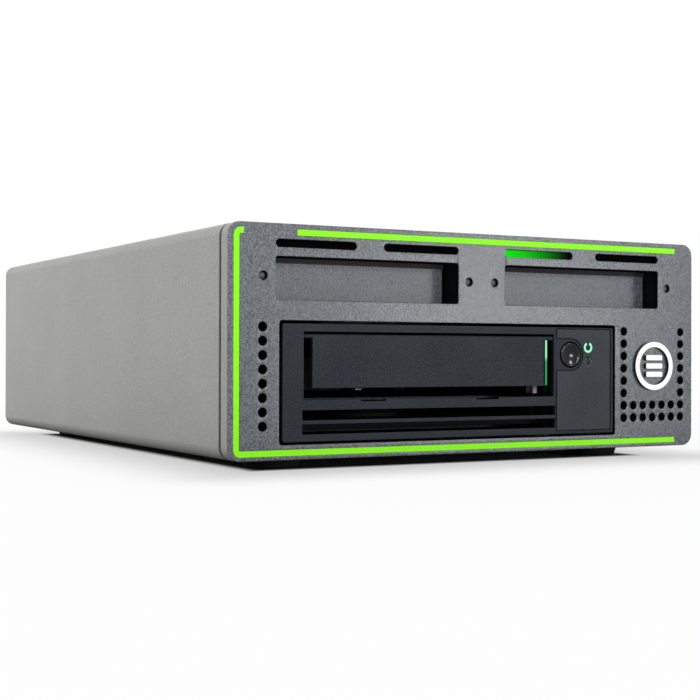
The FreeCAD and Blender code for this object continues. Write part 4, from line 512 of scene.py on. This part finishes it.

# pieces whose finish differs from their slot's; some inner pieces are darkened as painted shade of the unlit
# inside
ownFinish = {
    "bay_blank_left": speckledPaint("blankPaint", panelGrey, 0.0005, 0.5, 0.33, 0.00012, 0.04, 0.38),
    "bezel_side_cover": mouldedPlastic("coverPlastic", coverGrey, 0.0005, 0.4, 0.5, 0.00007, 0.2),
    "bay_screws": glossPlastic("screwGrey", (0.03, 0.03, 0.029), 0.3, 0.35),
    # partly painted shade: dark sheet, partly its own phosphate tone and partly the shade of the unlit
    # inside
    "cartridge_carrier": platedMetal("darkSheet", (0.03, 0.03, 0.031), 0.5, (1.0, 0.1, 1.0)),
    # painted shade: the steel motor, posts and clutch drawn as matte black plastic for the drive's unlit
    # inside
    "supply_motor": mouldedPlastic("motorBlack", (0.008, 0.008, 0.009), 0.0006, 0.2, 0.7, 0.00002, 0.05),
}
for node, other in (("bay_blank_right", "bay_blank_left"), ("loader_frame", "cartridge_carrier"),
                    ("power_supply", "cartridge_carrier"), ("tape_path_posts", "supply_motor"),
                    ("supply_clutch", "supply_motor")):
    ownFinish[node] = ownFinish[other]
for node, material in ownFinish.items():
    nodes[node].data.materials[0] = material

# the front panel: its corner's radius, how far in from its rim the walls in the openings get painted shade,
# how near the rim its edge gets the sleeve's lighter paint as painted light, and what counts as a wall
cutWalls = {"corner": 4.8 * mm, "shadedFrom": 2.6 * mm, "rimTo": 0.05 * mm, "flat": 0.3}


# the cage's folded edge over each blank, whose dark grey is partly painted shade under the window's top
# edge: before and behind the blank's face, and heights above the ground
lip = {"forward": 0.35 * mm, "back": 0.3 * mm, "bottom": 74.55 * mm, "top": 76.4 * mm, "ease": 0.1 * mm}


def addLip(mesh, low, high):
    size = Vector((high.x - low.x, lip["forward"] + lip["back"], lip["top"] - lip["bottom"]))
    middle = Vector(((low.x + high.x) / 2, low.y + (lip["back"] - lip["forward"]) / 2,
                     (lip["top"] + lip["bottom"]) / 2))
    strip = bmesh.new()
    bmesh.ops.create_cube(strip, size=1, matrix=Matrix.Translation(middle) @ Matrix.Diagonal((*size, 1)))
    easeEdges(strip, lip["ease"], 2)
    for face in strip.faces:
        face.material_index = 1
    data = bpy.data.meshes.new("lip")
    strip.to_mesh(data)
    strip.free()
    mesh.from_mesh(data)
    bpy.data.meshes.remove(data)


def paintWalls(mesh, low, high):
    # painted shade: the walls in the openings near black; painted light: the sleeve's lighter paint on the
    # rim
    corner = cutWalls["corner"]
    for face in mesh.faces:
        if abs(face.normal.y) >= cutWalls["flat"]:
            continue
        middle = face.calc_center_median()
        acrossIn = min(middle.x - low.x, high.x - middle.x)
        upIn = min(middle.z - low.z, high.z - middle.z)
        inset = min(acrossIn, upIn)
        if max(acrossIn, upIn) < corner:
            inset = corner - math.hypot(corner - acrossIn, corner - upIn)
        face.material_index = 1 if inset > cutWalls["shadedFrom"] else 2 if inset < cutWalls["rimTo"] else 0


def addEased():
    # painted shade for the walls in the front panel's openings
    cutEdge = speckledPaint("cutEdge", (0.004, 0.004, 0.004), 0.0006, 0.2, 0.75, 0.00001, specular=0.05)
    # partly painted shade: the lip's dark grey stands for the shade under the window's top edge
    lipSheet = speckledPaint("lipSheet", (0.04, 0.04, 0.039), 0.0006, 0.15, 0.7, 0.00002, specular=0.1)
    for node, (name, width, steps) in eased.items():
        mesh = mergedCopy(node)
        easeEdges(mesh, width, steps)
        materials = [ownFinish.get(node, finishes[slotOf[node]])]
        if node.startswith("bay_blank"):
            addLip(mesh, *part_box(node))
            materials.append(lipSheet)
        if node == "front_panel":
            paintWalls(mesh, *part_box(node))
            materials += [cutEdge, finishes["sleeve_paint"]]
        thing = finishMesh(mesh, name, materials)
        settle(thing, bodyOf[node], slotOf[node], node)


addEased()
print("eased shells made:", len(eased))


badge = {"ease": 0.18 * mm, "sideColour": (0.012, 0.012, 0.012)}


def addBadge():
    side = mouldedPlastic("badgeSide", badge["sideColour"], 0.0006, 0.15, 0.4, 0.00001)
    mesh = mergedCopy("front_badge")
    easeEdges(mesh, badge["ease"], 2)
    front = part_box("front_badge")[0].y
    for face in mesh.faces:
        face.material_index = 0 if face.calc_center_median().y < front + badge["ease"] * 1.01 else 1
    thing = finishMesh(mesh, "badge", [finishes["white_badge"], side])
    settle(thing, bodyOf["front_badge"], "white_badge", "front_badge")


addBadge()


slots = {"litSlot": 2, "colour": (0.003, 0.75, 0.006), "strength": 1.05, "lead": 0.5 * mm}


def addSlotGuides():
    # four smoked light guides, one of them lit from its left end
    mesh = mergedCopy("slot_light_guides")
    starts = sorted({round(vertex.co.x, 5) for vertex in mesh.verts})
    first, last = starts[2 * slots["litSlot"]], starts[2 * slots["litSlot"] + 1]
    lit = glowing("slotGlow", slots["colour"], slots["strength"], fade=(first + slots["lead"], last))
    for face in mesh.faces:
        face.material_index = 1 if first - mm < face.calc_center_median().x < last + mm else 0
    thing = finishMesh(mesh, "slotGuides", [finishes["smoked_guide"], lit])
    settle(thing, bodyOf["slot_light_guides"], "smoked_guide", "slot_light_guides")


addSlotGuides()


icons = {
    "clear": 0.1 * mm,                                # between a ring and the edge of its guide
    "power": {"width": 0.88 * mm, "gap": 44},         # gap in degrees, at the top
    "fault": {"radius": 1.9 * mm, "width": 0.42 * mm, "gap": 35.2},
    "front": -0.03 * mm, "back": 0.2 * mm,            # from the bezel's face
    "steps": 48,
}


def ringMesh(mesh, centre, radius, width, gap, index):
    # a flat ring open at its top, standing out of the bezel's face
    front, back = icons["front"], icons["back"]
    start, turn = math.radians(90 + gap / 2), math.radians(360 - gap)
    rows = []
    for step in range(icons["steps"] + 1):
        angle = start + turn * step / icons["steps"]
        way = Vector((math.cos(angle), 0, math.sin(angle)))
        rows.append([mesh.verts.new(centre + way * size + Vector((0, depth, 0)))
                     for size, depth in ((radius, back), (radius, front),
                                         (radius - width, front), (radius - width, back))])
    for one, two in zip(rows, rows[1:]):
        for side in range(4):
            face = mesh.faces.new((one[side], one[(side + 1) % 4], two[(side + 1) % 4], two[side]))
            face.material_index = index
    mesh.faces.new(rows[0]).material_index = index
    mesh.faces.new(reversed(rows[-1])).material_index = index


def addIcons():
    low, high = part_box("icon_light_guides")
    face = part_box("drive_bezel")[0].y
    middle = (low.x + high.x) / 2
    dim = glowing("iconDim", (0.3, 0.62, 0.5), 0.12, base=(0.05, 0.06, 0.055))
    mesh = mergedCopy("icon_light_guides")
    for guide in mesh.faces:
        guide.material_index = 2
    power, fault, clear = icons["power"], icons["fault"], icons["clear"]
    radius = (high.x - low.x) / 2
    ringMesh(mesh, Vector((middle, face, high.z - radius)), radius - clear, power["width"], power["gap"], 0)
    ringMesh(mesh, Vector((middle, face, low.z + fault["radius"])), fault["radius"] - clear,
             fault["width"], fault["gap"], 1)
    bmesh.ops.recalc_face_normals(mesh, faces=mesh.faces)
    thing = finishMesh(mesh, "iconLights", [finishes["white_light"], dim, finishes["bezel_plastic"]])
    settle(thing, bodyOf["icon_light_guides"], "white_light", "icon_light_guides")


addIcons()
print("badge, slot guides and icons made")


screws = {                        # sizes as shares of the head's radius
    "segments": 28, "recess": 0.84, "armWidth": 0.26, "recessDepth": 0.4,
    "sets": {                     # node: name, facing, head height
        "bay_screws": ("bayScrews", (0, -1, 0), 0.68),
        "case_screws": ("caseScrews", (0, 0, -1), 0.36),
        "foot_screws": ("footScrews", (0, 0, -1), 0.6),
        "rear_screws": ("rearScrews", (0, 1, 0), 0.6),
    },
}


def looseParts(mesh):
    left, groups = set(mesh.verts), []
    while left:
        group, edge = set(), [left.pop()]
        while edge:
            vertex = edge.pop()
            group.add(vertex)
            for link in vertex.link_edges:
                other = link.other_vert(vertex)
                if other in left:
                    left.discard(other)
                    edge.append(other)
        groups.append(group)
    return groups


def partBoxes(node):
    mesh = bmesh.new()
    mesh.from_mesh(nodes[node].data)
    bmesh.ops.remove_doubles(mesh, verts=mesh.verts, dist=0.002 * mm)
    boxes = []
    for group in looseParts(mesh):
        low = Vector(tuple(min(vertex.co[axis] for vertex in group) for axis in range(3)))
        high = Vector(tuple(max(vertex.co[axis] for vertex in group) for axis in range(3)))
        boxes.append((low, high))
    mesh.free()
    return sorted(boxes, key=lambda box: tuple(round(value, 5) for value in box[0]))


def lathe(points, steps, name):
    # turns (radius, height) points about Z, closed at the ends that lie on the axis
    mesh = bmesh.new()
    rings = []
    for radius, height in points:
        if radius < 1e-9:
            rings.append([mesh.verts.new((0, 0, height))])
        else:
            rings.append([mesh.verts.new((radius * math.cos(2 * math.pi * step / steps),
                                          radius * math.sin(2 * math.pi * step / steps), height))
                          for step in range(steps)])
    for one, two in zip(rings, rings[1:]):
        for step in range(steps):
            ahead = (step + 1) % steps
            corners = [one[step % len(one)], one[ahead % len(one)],
                       two[ahead % len(two)], two[step % len(two)]]
            corners = [corner for place, corner in enumerate(corners) if corner not in corners[:place]]
            mesh.faces.new(corners)
    bmesh.ops.recalc_face_normals(mesh, faces=mesh.faces)
    data = bpy.data.meshes.new(name)
    mesh.to_mesh(data)
    mesh.free()
    return data


def headProfile(height):
    # a pan head of unit radius: seat, rounded rim and low dome
    rim = [(1 - 0.22 * (1 - math.cos(turn)), height * (0.45 + 0.3 * math.sin(turn)))
           for turn in (0.0, 0.5, 1.0, 1.5)]
    return [(0, 0), (1, 0)] + rim + [(0.5, height * 0.93), (0, height)]


def placedScrewTree():
    # instances one screw on each point, cuts a crossed recess into its head, and realizes them
    tree = bpy.data.node_groups.new("placedScrews", "GeometryNodeTree")
    tree.interface.new_socket("Geometry", in_out="INPUT", socket_type="NodeSocketGeometry")
    tree.interface.new_socket("Geometry", in_out="OUTPUT", socket_type="NodeSocketGeometry")
    for name, kind, value in (
            ("Screw", "NodeSocketObject", None), ("Radius", "NodeSocketFloat", 1.0),
            ("Head Height", "NodeSocketFloat", 0.3), ("Recess", "NodeSocketFloat", 0.5),
            ("Arm Width", "NodeSocketFloat", 0.2), ("Recess Depth", "NodeSocketFloat", 0.5),
            ("Turn", "NodeSocketRotation", None), ("Finish", "NodeSocketMaterial", None),
            ("Seed", "NodeSocketInt", 3)):
        socket = tree.interface.new_socket(name, in_out="INPUT", socket_type=kind)
        if value is not None:
            socket.default_value = value
    add, link = tree.nodes.new, tree.links.new
    given, out = add("NodeGroupInput"), add("NodeGroupOutput")
    info = add("GeometryNodeObjectInfo")
    link(given.outputs["Screw"], info.inputs["Object"])
    arms = add("GeometryNodeJoinGeometry")
    size = add("ShaderNodeCombineXYZ")
    link(given.outputs["Recess"], size.inputs["X"])
    link(given.outputs["Arm Width"], size.inputs["Y"])
    link(given.outputs["Recess Depth"], size.inputs["Z"])
    for turn in (0.0, math.pi / 2):
        arm = add("GeometryNodeMeshCube")
        link(size.outputs[0], arm.inputs["Size"])
        place = add("GeometryNodeTransform")
        link(arm.outputs["Mesh"], place.inputs["Geometry"])
        place.inputs["Rotation"].default_value = (0, 0, turn)
        lift = add("ShaderNodeCombineXYZ")
        link(given.outputs["Head Height"], lift.inputs["Z"])
        link(lift.outputs[0], place.inputs["Translation"])
        link(place.outputs["Geometry"], arms.inputs["Geometry"])
    cut = add("GeometryNodeMeshBoolean")
    cut.operation = "DIFFERENCE"
    link(info.outputs["Geometry"], cut.inputs["Mesh 1"])
    link(arms.outputs["Geometry"], cut.inputs["Mesh 2"])
    spin = add("FunctionNodeRandomValue")
    spin.data_type = "FLOAT"
    spin.inputs[2].default_value = 0.0
    spin.inputs[3].default_value = math.pi / 2
    link(given.outputs["Seed"], spin.inputs["Seed"])
    about = add("FunctionNodeAxisAngleToRotation")
    about.inputs["Axis"].default_value = (0, 0, 1)
    link(spin.outputs[1], about.inputs["Angle"])
    turned = add("FunctionNodeRotateRotation")
    link(given.outputs["Turn"], turned.inputs["Rotation"])
    turned.rotation_space = "LOCAL"
    link(about.outputs["Rotation"], turned.inputs["Rotate By"])
    spread = add("GeometryNodeInstanceOnPoints")
    link(given.outputs["Geometry"], spread.inputs["Points"])
    link(cut.outputs["Mesh"], spread.inputs["Instance"])
    link(turned.outputs["Rotation"], spread.inputs["Rotation"])
    link(given.outputs["Radius"], spread.inputs["Scale"])
    real = add("GeometryNodeRealizeInstances")
    link(spread.outputs["Instances"], real.inputs["Geometry"])
    paint = add("GeometryNodeSetMaterial")
    link(given.outputs["Finish"], paint.inputs["Material"])
    link(real.outputs["Geometry"], paint.inputs["Geometry"])
    link(paint.outputs["Geometry"], out.inputs["Geometry"])
    return tree


def setInputs(modifier, **values):
    sockets = {item.name: item.identifier for item in modifier.node_group.interface.items_tree
               if item.item_type == "SOCKET" and item.in_out == "INPUT"}
    for name, value in values.items():
        modifier[sockets[name]] = value


def addScrews():
    tree = placedScrewTree()
    for node, (name, facing, height) in screws["sets"].items():
        facing = Vector(facing)
        model = bpy.data.objects.new(name + "Model",
                                     lathe(headProfile(height), screws["segments"], name + "Model"))
        bpy.context.scene.collection.objects.link(model)
        points = []
        for low, high in partBoxes(node):
            middle = (low + high) / 2
            across = [high[axis] - low[axis] for axis in range(3) if abs(facing[axis]) < 0.5]
            radius = min(across) / 2
            outer = Vector(tuple(high[axis] if facing[axis] > 0.5 else low[axis] if facing[axis] < -0.5
                                 else middle[axis] for axis in range(3)))
            points.append(outer - facing * radius * height)
        data = bpy.data.meshes.new(name)
        data.from_pydata([tuple(point) for point in points], [], [])
        thing = bpy.data.objects.new(name, data)
        bpy.context.scene.collection.objects.link(thing)
        modifier = thing.modifiers.new("screws", "NODES")
        modifier.node_group = tree
        turn = facing.to_track_quat("Z", "Y").to_euler()
        setInputs(modifier, **{"Screw": model, "Radius": radius, "Head Height": height,
                               "Recess": screws["recess"], "Arm Width": screws["armWidth"],
                               "Recess Depth": screws["recessDepth"], "Turn": tuple(turn),
                               "Finish": ownFinish.get(node, finishes[slotOf[node]])})
        bakedThing(thing)
        shadeByAngle(thing.data)
        bpy.data.objects.remove(model)
        settle(thing, bodyOf[node], slotOf[node], node)


addScrews()
print("screws made")

# millimetres: radii of the cap, the flange behind it and its dished face, and heights from the cap's rim
button = {
    "cap": 4.75, "flange": 5.8, "dish": 3.9, "depth": 4.2, "flangeHeight": 1.0, "hollow": 0.55,
    "rim": [(0.0, -0.4), (0.06, -0.18), (0.22, -0.04), (0.45, 0)],    # in from the cap's side, and height
    "segments": 48,
}


def addButton():
    low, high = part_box("eject_button")
    cap, dish, back = button["cap"], button["dish"], -button["depth"]
    rim = [(cap - inward, height) for inward, height in button["rim"]] + [(dish + 0.12, -0.03)]
    face = [(dish * share, -0.1 - button["hollow"] * (1 - share * share))
            for share in (1.0, 0.9, 0.75, 0.6, 0.45, 0.3, 0.15, 0.0)]
    flangeTop = back + button["flangeHeight"]
    flange = [(0, back), (button["flange"], back), (button["flange"], flangeTop), (cap, flangeTop)]
    data = lathe([(radius * mm, height * mm) for radius, height in flange + rim + face],
                 button["segments"], "ejectButton")
    thing = bpy.data.objects.new("ejectButton", data)
    bpy.context.scene.collection.objects.link(thing)
    middle = (low + high) / 2
    data.transform(Matrix.Translation((middle.x, low.y, middle.z)) @ Matrix.Rotation(math.pi / 2, 4, "X"))
    data.materials.append(finishes["gloss_button"])
    shadeByAngle(data)
    settle(thing, bodyOf["eject_button"], "gloss_button", "eject_button")


addButton()
